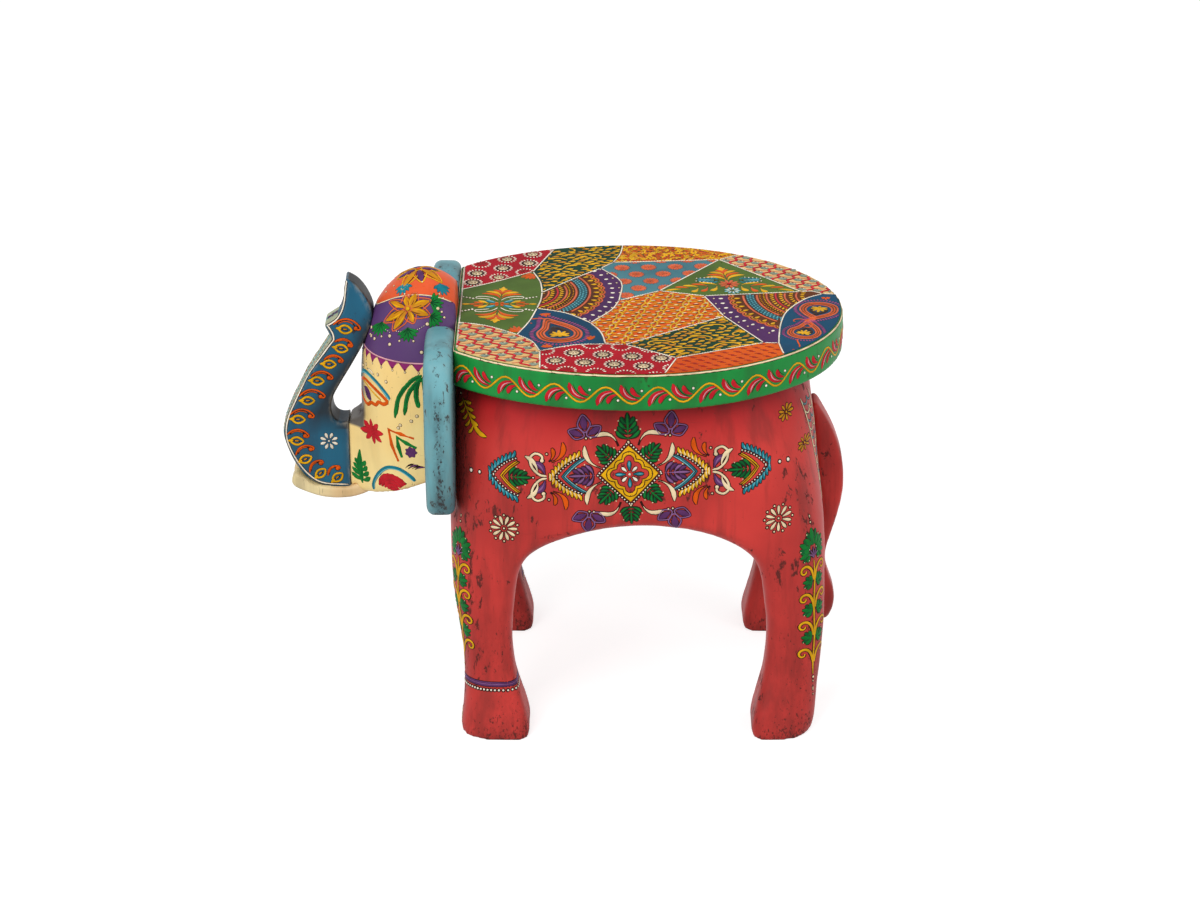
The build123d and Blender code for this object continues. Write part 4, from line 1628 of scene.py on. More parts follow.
    def add_border_plate(self, shape: bmesh.types.BMesh, names: str, material: int) -> None:
        """Adds the purple border outside a fan's scallops."""
        outline = self.patch(names)
        centre, radius = FANS[names[0]]
        kept = [spot for spot in outline if abs(spot - centre) > radius - 2]
        start = max(range(len(kept)), key=lambda k: abs(kept[k] - kept[k - 1]))
        kept = kept[start:] + kept[:start]
        first, last = (math.degrees(cmath.phase(spot - centre)) for spot in (kept[-1], kept[0]))
        if abs(last - first) > 180:
            first, last = first % 360, last % 360
        rim = [centre + turned(radius, first + (last - first) * k / 24) for k in range(25)]
        self.add_plate(shape, [*kept, *rim], material, 0.00008)

    def cords(self) -> Motif:
        """Draws the white cords between the patches and round the rim."""
        made, seen, frame = Motif(), set(), self.oval(2.0)
        for names, _, _ in self.patches():
            for start, end in round_trip(names.split(",")):
                if (end, start) in seen or (start, end) in seen:
                    continue
                seen.add((start, end))
                line = [*self.border(start, end), CORNERS[end]]
                fine = [spot for spot, _ in evenly(line, 2.6)]
                cord = Motif().line(fine, 0.62, WHITE, taper=1.0).beads(fine, 2.5, 0.88, WHITE)
                made.add(trimmed(cord, frame))
        neck = [complex(self.neck + 3.2, y) for y in range(-92, 93, 4)]
        return made.beads(neck, 2.6, 0.9, WHITE)

    def aim_down(self, spot: Spot) -> Ray:
        """Aims from above at a point of the seat."""
        return Vector((spot.real * MM + self.centre_x, spot.imag * MM, self.top + 0.05)), Vector((0, 0, -1))

    def rim_walk(self) -> list[tuple[Spot, float]]:
        """Returns the rim's points with the length walked, from the near side's middle towards +X."""
        rim = self.oval(0.0, 720)
        near = min(range(len(rim)), key=lambda k: abs(rim[k] - complex(0, -self.half_width)))
        rim = rim[near:] + rim[: near + 1]
        walked, total = [(rim[0], 0.0)], 0.0
        for a, b in zip(rim, rim[1:]):
            total += abs(b - a)
            walked.append((b, total))
        return walked

    def build_band(self) -> list[Piece]:
        """Builds the vine round the seat's edge."""
        rims, lengths = (np.array(column) for column in zip(*self.rim_walk()))
        length = lengths[-1]
        middle_height = self.top / MM - self.thick * 0.555

        def rim_at(way: float) -> Spot:
            """Finds the point of the rim after a length walked."""
            return complex(np.interp(way, lengths, rims.real), np.interp(way, lengths, rims.imag))

        def aim(spot: Spot) -> Ray:
            """Aims at the band, with x as the way round and y as the height over its middle."""
            place = rim_at(spot.real % length)
            out = (rim_at(spot.real % length + 1) - place) * -1j
            out = out / max(abs(out), 1e-9)
            start = place + out * 20
            height = (middle_height + spot.imag) * MM
            start = Vector((start.real * MM + self.centre_x, start.imag * MM, height))
            return start, Vector((-out.real, -out.imag, 0))

        def aim_rim(spot: Spot) -> Ray:
            """Aims at the rounded top edge from outside and above."""
            start, ray = aim(spot)
            return Vector((start.x, start.y, self.top + 0.0195)), Vector((ray.x, ray.y, -1.0))

        waves = round(length / 43.5)
        period = length / waves
        vine = [complex(period * k / 12, -7.4 * math.cos(2 * math.pi * k / 12)) for k in range(12 * waves + 1)]
        art = Motif().line(vine, 0.95, YELLOW, taper=1.0)
        bud = Motif().drop(-9.5 + 9.8j, 5.5 - 4.0j, 2.9, RED, -0.2, 0.62)
        bud.drop(-0.5 + 7.8j, 7.5 - 0.8j, 2.3, RED, -0.2, 0.6)
        # The thin rose stroke along each bud is a painted highlight.
        bud.drop(-7.5 + 7.2j, 3 - 2.8j, 0.6, ROSE, -0.2, 0.6, 0.35, 5).dot(8.2 + 4.4j, 1.3, WHITE)
        bud.line(bow(-5.8 + 8.6j, 5.8 - 2.6j, -0.16, 6), 0.4, DARK)
        bud.line(bow(0.6 + 8.6j, 8.4 + 0.6j, -0.12, 5), 0.35, DARK)
        for k in range(waves):
            art.add(bud, complex(period * k, 0)).add(bud, complex(period * (k + 0.5) + 2.0, 0), mirror=True)
        rim = Motif().line([complex(length * k / 300, 0) for k in range(301)], 0.85, CREAM, taper=1.0)
        band = PaintLayer("seat_band", self.slab, "painted_seat", halo=0.35)
        band.draw(art, aim)
        band.draw(rim, aim_rim)
        return band.lay()


# ---------------------------------------------------------------- sheets that motifs are drawn on

STAND_OFF = 0.2
BACK, SIDEWAYS, UP = (1.0, 0.0, 0.0), (0.0, 1.0, 0.0), (0.0, 0.0, 1.0)


@dataclass(frozen=True)
class Sheet:
    """A flat sheet held before a face of the stool."""

    middle: Place
    right: Place
    up: Place
    ray: Place

    def aim(self, spot: Spot) -> Ray:
        """Gives where the ray of a point of the sheet starts and where it points."""
        place = Vector(self.middle) + Vector(self.right) * spot.real + Vector(self.up) * spot.imag
        place.x += ORIGIN_X
        ray = Vector(self.ray).normalized()
        return place * MM - ray * STAND_OFF, ray


@dataclass(frozen=True)
class Drum:
    """A sheet wrapped round an upright axis; x runs from the stool's side towards its rear."""

    axis: tuple[float, float]
    radius: float
    side: int

    def aim(self, spot: Spot) -> Ray:
        """Gives where the ray of a point of the drum starts and where it points."""
        turn = -spot.real / self.radius
        out = Vector((-math.sin(turn), self.side * math.cos(turn), 0.0))
        place = Vector((self.axis[0] + ORIGIN_X, self.axis[1], spot.imag)) * MM
        return place + out * STAND_OFF * 0.5, -out


def flank(side: int) -> Sheet:
    """Returns the upright sheet along one side of the stool, -1 for its left."""
    return Sheet((0.0, side * 100.0, 0.0), BACK, UP, (0.0, -side, 0.0))


# ---------------------------------------------------------------- motifs of body and legs


def veined_leaf(
    length: float, width: float, veins: tuple[Cone, Cone] = (GREEN, LEAF), deep: Cone = PINE
) -> Motif:
    """Draws a leaf of paired veins with pale tips, along +X from its stem."""
    made = Motif()
    for k in range(4):
        root = complex(length * (0.04 + 0.17 * k), 0.2)
        tip = complex(length * (0.34 + 0.17 * k), width * (0.5 - 0.075 * k))
        vein = Motif().drop(root, tip, length * 0.06, veins[k % 2], 0.12, 1.9, 0.25, steps=5)
        if k in (0, 2):
            vein.dot(tip + turned(length * 0.045, 45), length * 0.034, CREAM, 0.2)
        made.pair(root, tip, length * 0.105, deep, 0.12, 1.5, steps=5).both(vein)
    made.drop(complex(length * 0.3, 0), complex(length, 0), length * 0.095, deep, steps=6)
    return made.drop(0j, complex(length, 0), length * 0.05, veins[0], 0.0, 1.9, 0.25, 6)


def lotus_fan(length: float, count: int = 7) -> Motif:
    """Draws a purple half-open lotus along +X with white tips."""
    made = Motif().fan(count, 112, length * 0.93, length * 0.1, PLUM, 0.12, 0.2)
    made.fan(count, 112, length * 0.93, length * 0.052, MAUVE, 0.12, 0.2, 0.25)
    for k in range(1, count, 2):
        side = 2 * k / (count - 1) - 1
        made.dot(turned(length * (1.0 - 0.2 * abs(side)), side * 56), 0.6, WHITE)
    return made


def outlined_petal(length: float, width: float, rim: Cone, fill: Cone) -> Motif:
    """Draws a pointed petal along +X: a flat fill, a fine outline and a small coil."""
    side = [
        complex(length * 0.1, width * 0.25), complex(length * 0.42, width * 0.52),
        complex(length * 0.72, width * 0.36),
    ]
    ring = through(
        [0j, *side, complex(length, 0), *(spot.conjugate() for spot in reversed(side))], 3, closed=True
    )
    made = Motif().drop(
        complex(length * 0.12, 0), complex(length * 0.92, 0), width * 0.31, fill, 0.0, 1.05, 0.1
    )
    made.line(ring, 0.62, rim, 0.1, closed=True)
    return made.line([complex(length * 0.25, 0), complex(length * 0.7, 0)], 0.3, rim, 0.45)


def trefoil() -> Motif:
    """Draws three outlined purple petals round a stem at the origin, the middle one along +X."""
    petal = outlined_petal(15.5, 10.5, MAUVE, PURPLE)
    made = Motif().add(petal, turned(4, 0)).dot(-1.5 + 0j, 0.9, CREAM)
    for turn in (62, -62):
        made.add(petal, turned(1.5, turn), turn, 0.92)
    return made


def rope(line: Sequence[Spot], cone: Cone, pale: Cone, reach: float, gap: float, lean: float) -> Motif:
    """Draws a row of short slanting strokes along a line.

    Args:
        line: Middle of the row.
        cone: Colour of the strokes.
        pale: Colour of their light ends.
        reach: Length of a stroke.
        gap: Step between strokes.
        lean: Angle of the strokes to the line, in degrees.

    Returns:
        The rope.
    """
    made = Motif()
    for spot, heading in evenly(line, gap):
        half = turned(reach / 2, heading + lean)
        made.drop(spot - half, spot + half, gap * 0.42, cone, 0.12, 1.2, steps=4)
        made.drop(spot - half * 0.2, spot + half * 0.9, gap * 0.16, pale, 0.12, 1.4, 0.3, 3)
    return made


def pointed_arch(tip: float, end: Spot, cone: Cone, pale: Cone, rope_reach: float) -> Motif:
    """Draws a rope arch that opens towards +X, with a row of white dots inside it."""
    half = Motif().add(rope(bow(end, complex(tip, 0), -0.085, 8), cone, pale, rope_reach * 1.18, 4.0, 42))
    return Motif().both(half.beads(bow(end + 1.6 - 3.6j, complex(tip + 5.4, 0), -0.085, 8), 2.9, 0.75, WHITE))


def chevron(tip: float, end: Spot, cones: tuple[Cone, Cone], width: float) -> Motif:
    """Draws two fine parallel lines that meet in a point and open towards +X."""
    made = Motif()
    for k, cone in enumerate(cones):
        shift = k * width * 3.4
        line = bow(end + shift * 0.75 - 1j * shift * 0.35, complex(tip + shift, 0), -0.05, 6)
        made.line([*line, *(spot.conjugate() for spot in reversed(line[:-1]))], width, cone)
    return made


def scalloped_frame() -> Motif:
    """Draws the yellow four-cornered frame with its scalloped inner edge and dotted rim."""
    corners = [25.0 + 0j, 26j, -25.0 + 0j, -26j]

    def diamond(size: float, swell: float, lobes: int, steps: int) -> Polygon:
        """Runs round a diamond whose sides carry outward lobes."""
        line = []
        for a, b in round_trip([corner * size for corner in corners]):
            out = (b - a) * -1j / abs(b - a)
            for share in (n / steps for n in range(steps)):
                line.append(a + (b - a) * share + out * swell * (abs(math.sin(math.pi * lobes * share)) - 0.4))
        return line

    made = Motif().line(diamond(0.86, 0.0, 1, 6), 2.6, YELLOW, closed=True)
    made.line(diamond(0.96, 0.0, 1, 6), 0.7, YELLOW, closed=True)
    made.line(diamond(0.74, 2.4, 3, 18), 1.15, YELLOW, closed=True)
    made.line(diamond(0.82, 2.4, 3, 18), 0.5, DARK, 0.3, closed=True)
    rim = diamond(1.1, 0.0, 1, 8)
    made.beads([*rim, rim[0]], 2.9, 0.8, WHITE)
    made.rosette(4, 3.0, 12.5, 1.9, TEAL).rosette(4, 6.0, 11.5, 0.7, SKY, lift=0.35)
    return made.rosette(4, 3.0, 9.5, 1.5, WHITE, 45).dot(0j, 1.3, WHITE, 0.2)


def arm() -> Motif:
    """Draws the arm of the medallion that runs out along -X."""
    made = Motif()
    made.add(pointed_arch(-68.5, -42 + 20.5j, YELLOW, CREAM, 6.6))
    made.add(chevron(-57.5, -38 + 16.5j, (TEAL, SKY), 0.62))
    made.add(veined_leaf(22.0, 19.0, (MAUVE, PURPLE), PLUM), -30 + 0j, 180)
    made.add(pointed_arch(-122.5, -97 + 20.5j, TEAL, SKY, 6.4))
    made.add(chevron(-110.5, -95 + 14.5j, (YELLOW, GOLD), 0.62))
    made.add(veined_leaf(20.0, 17.0), -104 + 0j).dot(-82.5 + 0j, 0.8, WHITE)
    coil = through([-71 + 1j, -77 + 2.5j, -83 + 9j, -84.5 + 17j, -80 + 21.5j, -74.5 + 19.5j, -74 + 15.5j], 3)
    wing = Motif().line(coil, 1.15, CREAM).dot(-74.3 + 15.2j, 1.9, CREAM)
    wing.drop(-79 + 1.5j, -89 + 19j, 2.2, CREAM, -0.2, 2.2)
    wing.drop(-72.5 + 3j, -80 + 14j, 3.1, PURPLE, -0.12, 1.5)
    wing.drop(-73.5 + 5j, -79 + 12.5j, 0.9, MAUVE, -0.12, 1.5, 0.3)
    wing.drop(-66.5 + 13.5j, -56 + 31j, 2.5, ORANGE, -0.24, 2.0)
    wing.drop(-68.5 + 14j, -65.5 + 26.5j, 1.8, ORANGE, -0.2, 2.0).dot(-70 + 21j, 0.9, CREAM)
    return made.both(wing).dot(-129 - 1j, 1.5, WHITE).dot(-136.5 - 2j, 1.9, WHITE)


def medallion() -> Motif:
    """Draws the whole medallion of the flank round its frame."""
    made = Motif().add(scalloped_frame())
    made.add(veined_leaf(24.0, 20.0), 31j, 90).dot(29j, 1.1, CREAM)
    made.add(veined_leaf(18.0, 18.0), -30j, -90).dot(-29j, 1.0, CREAM)
    quarter = Motif().add(veined_leaf(19.0, 17.0), 14 + 13j, 46)
    quarter.drop(8.5 + 25.5j, 29 + 34.5j, 2.2, CREAM, 0.3, 2.4)
    quarter.drop(24 + 6.5j, 37.5 + 27j, 2.4, CREAM, -0.2, 2.2)
    quarter.add(trefoil(), 36 + 35j, 84).dot(32 + 34j, 0.9, CREAM)
    return made.both(quarter).both(quarter, 180).add(arm()).add(arm(), 0j, 180, mirror=True)


def white_daisy() -> Motif:
    """Draws a white flower of ten petals with dots between them."""
    made = Motif().rosette(10, 3.0, 12.0, 1.6, CREAM).dot(0j, 1.0, CREAM)
    return made.scatter((turned(12.2, 36 * k + 18) for k in range(10)), 0.95, CREAM)


def sprig() -> Motif:
    """Draws the yellow sprig behind the ear."""
    stem = through([-145 + 303j, -141 + 296j, -136 + 289j, -127 + 283.5j], 4)
    made = Motif().line(stem[:-2], 0.9, YELLOW)
    for k in range(5):
        root = stem[2 * k]
        made.drop(root, root + complex(-4.6, -8.0 - 0.5 * k), 1.8, YELLOW, 0.12, 1.8)
        made.drop(root, root + complex(7.6, 1.0 - 1.6 * k), 1.8, YELLOW, -0.12, 1.8)
    return made.drop(-138 + 290j, -124 + 282j, 2.4, YELLOW, -0.14, 1.6).dot(-147 + 306j, 1.2, CREAM)


def jagged_leaf() -> Motif:
    """Draws a small green leaf with pointed lobes, along +X."""
    made = Motif().drop(0j, 12.5 + 0j, 2.6, GREEN, 0, 1.1)
    made.pair(1 + 0j, 6.5 + 6.8j, 2.2, GREEN, 0.1, 1.3).pair(4 + 0j, 10.5 + 5.0j, 1.9, LEAF, 0.1, 1.3)
    return made.line([1 + 0j, 10 + 0j], 0.3, PINE, 0.4).dot(9 + 5.4j, 0.6, CREAM, 0.2)


def leg_vine(top: float, tiers: int, step: float) -> Motif:
    """Draws the climbing vine of a leg round x = 0: scrolls and leaves under a purple bud.

    Args:
        top: Height of the bud.
        tiers: Number of scrolls on each side.
        step: Height between scrolls.

    Returns:
        The vine.
    """
    made = Motif().add(lotus_fan(11.0, 5), complex(0, top - 7), 90)
    for turn, size in ((90, 1.25), (150, 1.05), (30, 1.05), (195, 0.95), (-15, 0.95)):
        made.add(jagged_leaf(), complex(0, top) + turned(4.5, turn), turn, size)
    foot = top - 12 - step * tiers
    made.line([complex(0.6 * math.sin(k), top - 9 - (top - 9 - foot) * k / 12) for k in range(13)], 1.1, YELLOW)
    for at in (top - 14 - step * k for k in range(tiers)):
        scroll = Motif().curl(complex(0.8, at - 13), 80, 34, (-0.4, -27.0), 1.45, YELLOW, 18)
        made.add(scroll).add(scroll, 0j, 180, mirror=True)
        if at > foot + step:
            for turn in (168, 12):
                made.add(jagged_leaf(), complex(0, at - 16) + turned(2.0, turn), turn, 0.92)
    for x, z, radius in (
        (-6, top - 8, 0.8), (6, top - 8, 0.8), (0, top + 25, 0.9), (0, foot - 3, 1.3), (0, foot - 7, 0.9),
        (0, foot - 20, 0.7),
    ):
        made.dot(complex(x, z), radius, CREAM)
    for low, high in ((top + 28, top + 32), (foot - 11, foot - 17)):
        made.drop(complex(0, low), complex(0, high), 0.8, CREAM, steps=4)
    return made


@dataclass
class PaintedBody:
    """The medallions, flowers, vines and anklets of torso and legs."""

    surface: Piece
    ankle_radius: float = 27.0

    def build(self) -> list[Piece]:
        """Paints both sides and lays the colours."""
        layer = PaintLayer("body_art", self.surface, "painted_body", halo=0.95)
        for side in (-1, 1):
            self.paint_flank(layer, flank(side))
            self.paint_legs(layer, side)
        self.paint_rump(layer)
        return layer.lay()

    def paint_flank(self, layer: PaintLayer, sheet: Sheet) -> None:
        """Paints medallion, flowers and sprig on one side."""
        art = Motif().add(medallion(), -1.5 + 257.5j, 2.4)
        art.add(white_daisy(), -109.5 + 205.5j).add(white_daisy(), 127 + 213.5j, 18)
        yellow = Motif().rosette(9, 1.2, 7.4, 1.5, GOLD).dot(0j, 1.2, YELLOW, 0.3)
        art.add(yellow, 133 + 299j, 0, 0.95).add(yellow, 150 + 267j, 0, 0.85).add(sprig())
        layer.draw(art, sheet.aim)

    def paint_legs(self, layer: PaintLayer, side: int) -> None:
        """Paints the vines on the outer corners of two legs, an anklet and toenails."""
        front = Sheet((-150.0, side * 103.0, 0.0), (0.62, side * 0.78, 0.0), UP, (0.78, -side * 0.62, 0.0))
        rear = Sheet((160.5, side * 110.0, 0.0), (0.78, -side * 0.62, 0.0), UP, (-0.62, -side * 0.78, 0.0))
        layer.draw(leg_vine(176.0, 4, 25.0), front.aim)
        layer.draw(leg_vine(176.0, 4, 27.0), rear.aim)
        shares = [k / 20 - 1 for k in range(41)]
        turns = [complex(self.ankle_radius * 1.75 * share, 49.5 - 1.8 * share**2) for share in shares]
        art = Motif().line(turns, 0.95, PURPLE).line([spot + 2.4j for spot in turns], 0.9, PURPLE)
        art.line([spot + 1.2j for spot in turns], 0.4, MAUVE, 0.1)
        art.beads([spot - 4.0j for spot in turns], 3.9, 1.1, WHITE)
        for turn in (-146, -96):
            at = math.radians(turn) * self.ankle_radius
            art.line([complex(at, 5) + turned(10, 180 * k / 8) for k in range(9)], 0.9, CREAM)
            art.drop(complex(at - 3, 8), complex(at + 4, 9), 2.2, SKY, 0.1)
        layer.draw(art, Drum((-124.0, side * 100.0), self.ankle_radius, side).aim)

    def paint_rump(self, layer: PaintLayer) -> None:
        """Paints pale scaly borders down the rump on both sides of the tail."""
        art = Motif()
        for row in range(12):
            for y in (-61.3, -49.7, 49.7, 61.3):
                scale = [complex(y, 212 + 8 * row) + turned(5.4, 180 + 180 * k / 6) for k in range(7)]
                art.line(scale, 0.7, (CREAM, STEEL)[row % 2])
        for y in (-67, -44, 44, 67):
            art.line([complex(y, 206 + 4 * k) for k in range(25)], 0.8, CREAM)
        layer.draw(art, Sheet((150.0, 0.0, 0.0), SIDEWAYS, UP, (-1.0, 0.0, 0.0)).aim)


# ---------------------------------------------------------------- head and trunk

HEAD_AXIS = -181.0
HEAD_RADIUS = 57.0


def hook(leaf: Spot, tip: Spot, back: Spot) -> Motif:
    """Draws one link of the trunk's border: an orange hook over a yellow leaf.

    Args:
        leaf: Middle of the leaf.
        tip: Dot at the end of the hook.
        back: Where the hook starts, by the outer edge.

    Returns:
        The link.
    """
    way = tip - back
    axis = way / abs(way)
    lift = 1j * axis
    over = bow(back, tip + way * 0.2, 0.26, 7)
    end = [tip + way * 0.2 - lift * 0.6, tip + way * 0.13 - lift * 2.4, tip - lift * 1.8]
    made = Motif().line(through([*over[:-1], *end], 2), 0.85, ORANGE).dot(tip - lift * 1.2, 2.1, ORANGE)
    made.line(bow(back + way * 0.16 + lift * 0.2, tip - way * 0.06 + lift * 1.2, 0.22, 6), 0.5, ORANGE)
    point, root = leaf + axis * 6.6 - lift * 0.6, leaf - axis * 5.6 + lift * 0.2
    for bend in (0.3, -0.3):
        made.line(bow(root, point, bend, 6), 1.05, YELLOW, taper=0.7)
    made.drop(root + axis * 2.6, point - axis * 3, 1.5, DARK, 0.0, 1.0, -0.1)
    made.drop(leaf - axis * 1.8, leaf + axis * 2.4, 0.8, GOLD, 0.0, 1.0, 0.2, 4)
    return made.drop(root - axis * 2.5, root + axis * 3, 1.6, YELLOW, 0.0, 1.3)


# Leaf, tip and back of each hook down the trunk, and the trunk's outer edge, from its tip to the muzzle.
TRUNK_LINKS: tuple[tuple[Spot, Spot, Spot], ...] = (
    (-250 + 345j, -240 + 347j, -260 + 349j), (-254 + 327j, -246 + 331j, -259 + 333j),
    (-265 + 312j, -255 + 316j, -269 + 316j), (-276 + 296j, -265 + 300j, -281 + 300j),
    (-285 + 277j, -273 + 282j, -292 + 281j), (-294 + 259j, -283 + 263j, -301 + 263j),
    (-296 + 238j, -288 + 244j, -304 + 244j), (-289 + 220j, -284 + 231j, -297 + 224j),
    (-276 + 206j, -276 + 217j, -285 + 207j), (-261 + 202j, -261 + 212j, -269 + 204j),
)  # fmt: skip
TRUNK_EDGE: tuple[Spot, ...] = (
    -248.5 + 389j, -249.5 + 383j, -251.5 + 368j, -256.5 + 356j, -266.5 + 348.5j, -262 + 341j,
    -261 + 335.5j, -268 + 326j, -283 + 304j, -295.5 + 279.5j, -304 + 259.5j, -306 + 243j,
    -302.5 + 229j, -294.5 + 213.5j, -283 + 200.5j, -271 + 195j, -251 + 194j,
)  # fmt: skip


def mark_trunk_faces(mesh: bpy.types.Mesh) -> None:
    """Stores which vertices lie on the trunk's outer edge and, as painted shade, how dark the rest is: on faces
    turned towards the tail, in the bend by the muzzle and away from the outer edge.
    """
    x, _, z = (rows(mesh) / MM).T
    x = x - ORIGIN_X
    ahead, sideways, _ = rows(mesh, "normal").T
    flat = ramp(np.abs(sideways), 0.75, -0.25)
    outer = flat * (((ahead < 0.15) | (z < 215)) & (x < -256))
    store(mesh, "outer", outer)
    # Painted shade: the bend by the muzzle, the faces turned towards the tail and the inner part away from the
    # outer edge.
    near_bend = ramp(x, -270, 18) * ramp(z, 285, -30) * (z > 250)
    away = np.full(len(x), 1e3)
    for spot in through(TRUNK_EDGE, 3):
        away = np.minimum(away, np.hypot(x - spot.real, z - spot.imag))
    bare = 12 + 9 * ramp(z, 330, 35)
    far_edge_shade = ramp(away, bare, 13) * ramp(z, 243, 22)
    shade = np.maximum(ramp(ahead, 0.2, 0.3) * flat, 0.85 * near_bend)
    store(mesh, "inner", np.maximum(shade, 0.9 * far_edge_shade) * (1 - outer))


@dataclass
class PaintedHead:
    """Face, crown, trunk borders and the dots on the nostril."""

    head: Piece
    trunk: Piece

    def build(self) -> list[Piece]:
        """Paints head and trunk on both sides and lays the colours."""
        face = PaintLayer("head_art", self.head, "painted_head", 0.0005, 0.3)
        trunk = PaintLayer("trunk_art", self.trunk, "painted_trunk", 0.0005, 0.55)
        for side in (-1, 1):
            face.draw(
                self.eye().add(self.cheek()).add(self.hem()), Drum((HEAD_AXIS, 0.0), HEAD_RADIUS, side).aim
            )
            slope = Sheet(
                (0.0, side * 262.0, 231.0), BACK, (0.0, -side * 0.66, 0.75), (0.0, -side * 0.75, -0.66)
            )
            face.draw(self.lotus(), slope.aim)
            trunk.draw(self.border(), flank(side).aim)
        face.draw(self.crown(), Sheet((0.0, 0.0, 400.0), BACK, SIDEWAYS, (0.0, 0.0, -1.0)).aim)
        trunk.draw(self.outer_edge(), Sheet((-330.0, 0.0, 0.0), SIDEWAYS, UP, BACK).aim)
        return [*face.lay(), *trunk.lay()]

    def eye(self) -> Motif:
        """Draws the eye with its teal brow."""
        brow = through([-84 + 297j, -76 + 305j, -62 + 309j, -47 + 306j, -37 + 300j, -30 + 293.5j], 4)
        lid = [-80 + 296j, -68 + 301j, -55 + 300.5j, -43 + 296.5j, -33 + 291j, -37 + 287j, -43 + 287.5j]
        lid += [-47 + 283.5j, -54 + 283.5j, -60 + 279.5j, -72 + 281j, -80 + 286j]
        made = Motif().line(brow, 2.2, TEAL).line([spot - 1.0j for spot in brow[2:]], 0.8, SKY, 0.2)
        made.line(through(lid, 3), 1.9, ORANGE)
        made.line(through([-74 + 298.5j, -60 + 297j, -48 + 293j, -40 + 290j], 3), 0.8, YELLOW)
        made.drop(-68 + 293.5j, -54 + 285.5j, 4.8, PURPLE, 0.05, 1.0, 0.15)
        return made.drop(-64 + 291j, -58 + 288.5j, 1.6, PLUM, 0, 1.0, 0.45, 4)

    def cheek(self) -> Motif:
        """Draws palm, flower, chevrons, leaf and half sun under the eye."""
        made = Motif()
        fronds = (
            ((0 + 319j, -10 + 313j, -21 + 297j, -25 + 277j), 2.1),
            ((-1 + 316j, -9 + 307j, -13.5 + 297j, -16 + 281j), 2.0),
            ((-1 + 318j, -5 + 308j, -5 + 297j, -3 + 289j), 2.2),
            ((1 + 318j, 2 + 308j, 3 + 298j, 4 + 288j), 2.0),
        )
        for frond, width in fronds:
            line = through(frond, 4)
            made.line(line, width, GREEN, taper=0.3).line(line[1:-2], width * 0.4, LEAF, 0.25)
        for k in range(8):
            tip = turned(11.2, 45 * k + 12)
            made.drop(-53 + 256j, -53 + 256j + complex(tip.real * 1.35, tip.imag), 3.1, RED, 0.0, 1.2)
        made.line([-8 + 259.5j, -20 + 262.5j, -32 + 264.5j, -29 + 250j, -23 + 235.5j], 2.1, ORANGE)
        made.line([-6 + 250.5j, -15 + 254.5j, -23.5 + 259j, -22.5 + 250j, -19.5 + 240j], 2.3, GREEN)
        for k in range(7):
            made.drop(-11 + 246j, -11 + 246j + turned(5.6, 51 * k), 2.2, PURPLE, 0.0, 1.2, steps=4)
        for k in range(4):
            made.drop(
                complex(-17 + 3 * k, 229.5), complex(-8 + 3 * k, 235 - k), 1.0, (DARK, PURPLE)[k % 2], 0.1,
                steps=4,
            )
        leaf = Motif().drop(0j, 32 + 0j, 4.4, GREEN, 0.04, 0.9)
        for k in range(4):
            leaf.pair(
                complex(3 + 4.6 * k, 0), complex(8 + 4.8 * k, 9.5 - 1.4 * k), 2.6, GREEN, 0.1, 1.3, steps=5
            )
        leaf.line([2 + 0j, 24 + 0j], 0.45, LEAF, 0.4)
        made.add(leaf, -67 + 201j, 94)
        arc = through([-55 + 199j, -53 + 208j, -46 + 218j, -35 + 226.5j, -24 + 228j, -15 + 224j, -8 + 218j], 4)
        made.line(arc, 2.0, TEAL).line([spot * 0.94 + (-32 + 208j) * 0.06 for spot in arc], 0.6, SKY, 0.2)
        for radius in (2.5, 6.0, 9.5, 13.0, 16.0):
            made.line([-31 + 203.5j + turned(radius, 2 + 17 * k) for k in range(11)], 2.2, RED, -0.12)
        dots = (-72 + 312j, -64 + 316j, -44 + 313j, -34 + 309j, -20 + 271j, -10 + 276j, -5 + 281j, -22 + 268j)
        return made.scatter(dots, 1.5, CREAM).drop(-62 + 313j, -50 + 311j, 1.4, CREAM, 0.1)

    def hem(self) -> Motif:
        """Draws the piping over the toothed hem and the dots at its points."""
        made = Motif().line([complex(u, 329.4) for u in range(-88, 14, 3)], 0.75, ROSE)
        tooth, depth = HeadPaint.tooth
        for u in (-HEAD_RADIUS * math.pi / 2 + tooth * k for k in range(9)):
            ends = [complex(u - tooth / 2, 329), complex(u, 329.6 - depth), complex(u + tooth / 2, 329)]
            made.line(ends, 0.35, MAGENTA).dot(complex(u, 321.0), 0.9, CREAM)
        return made

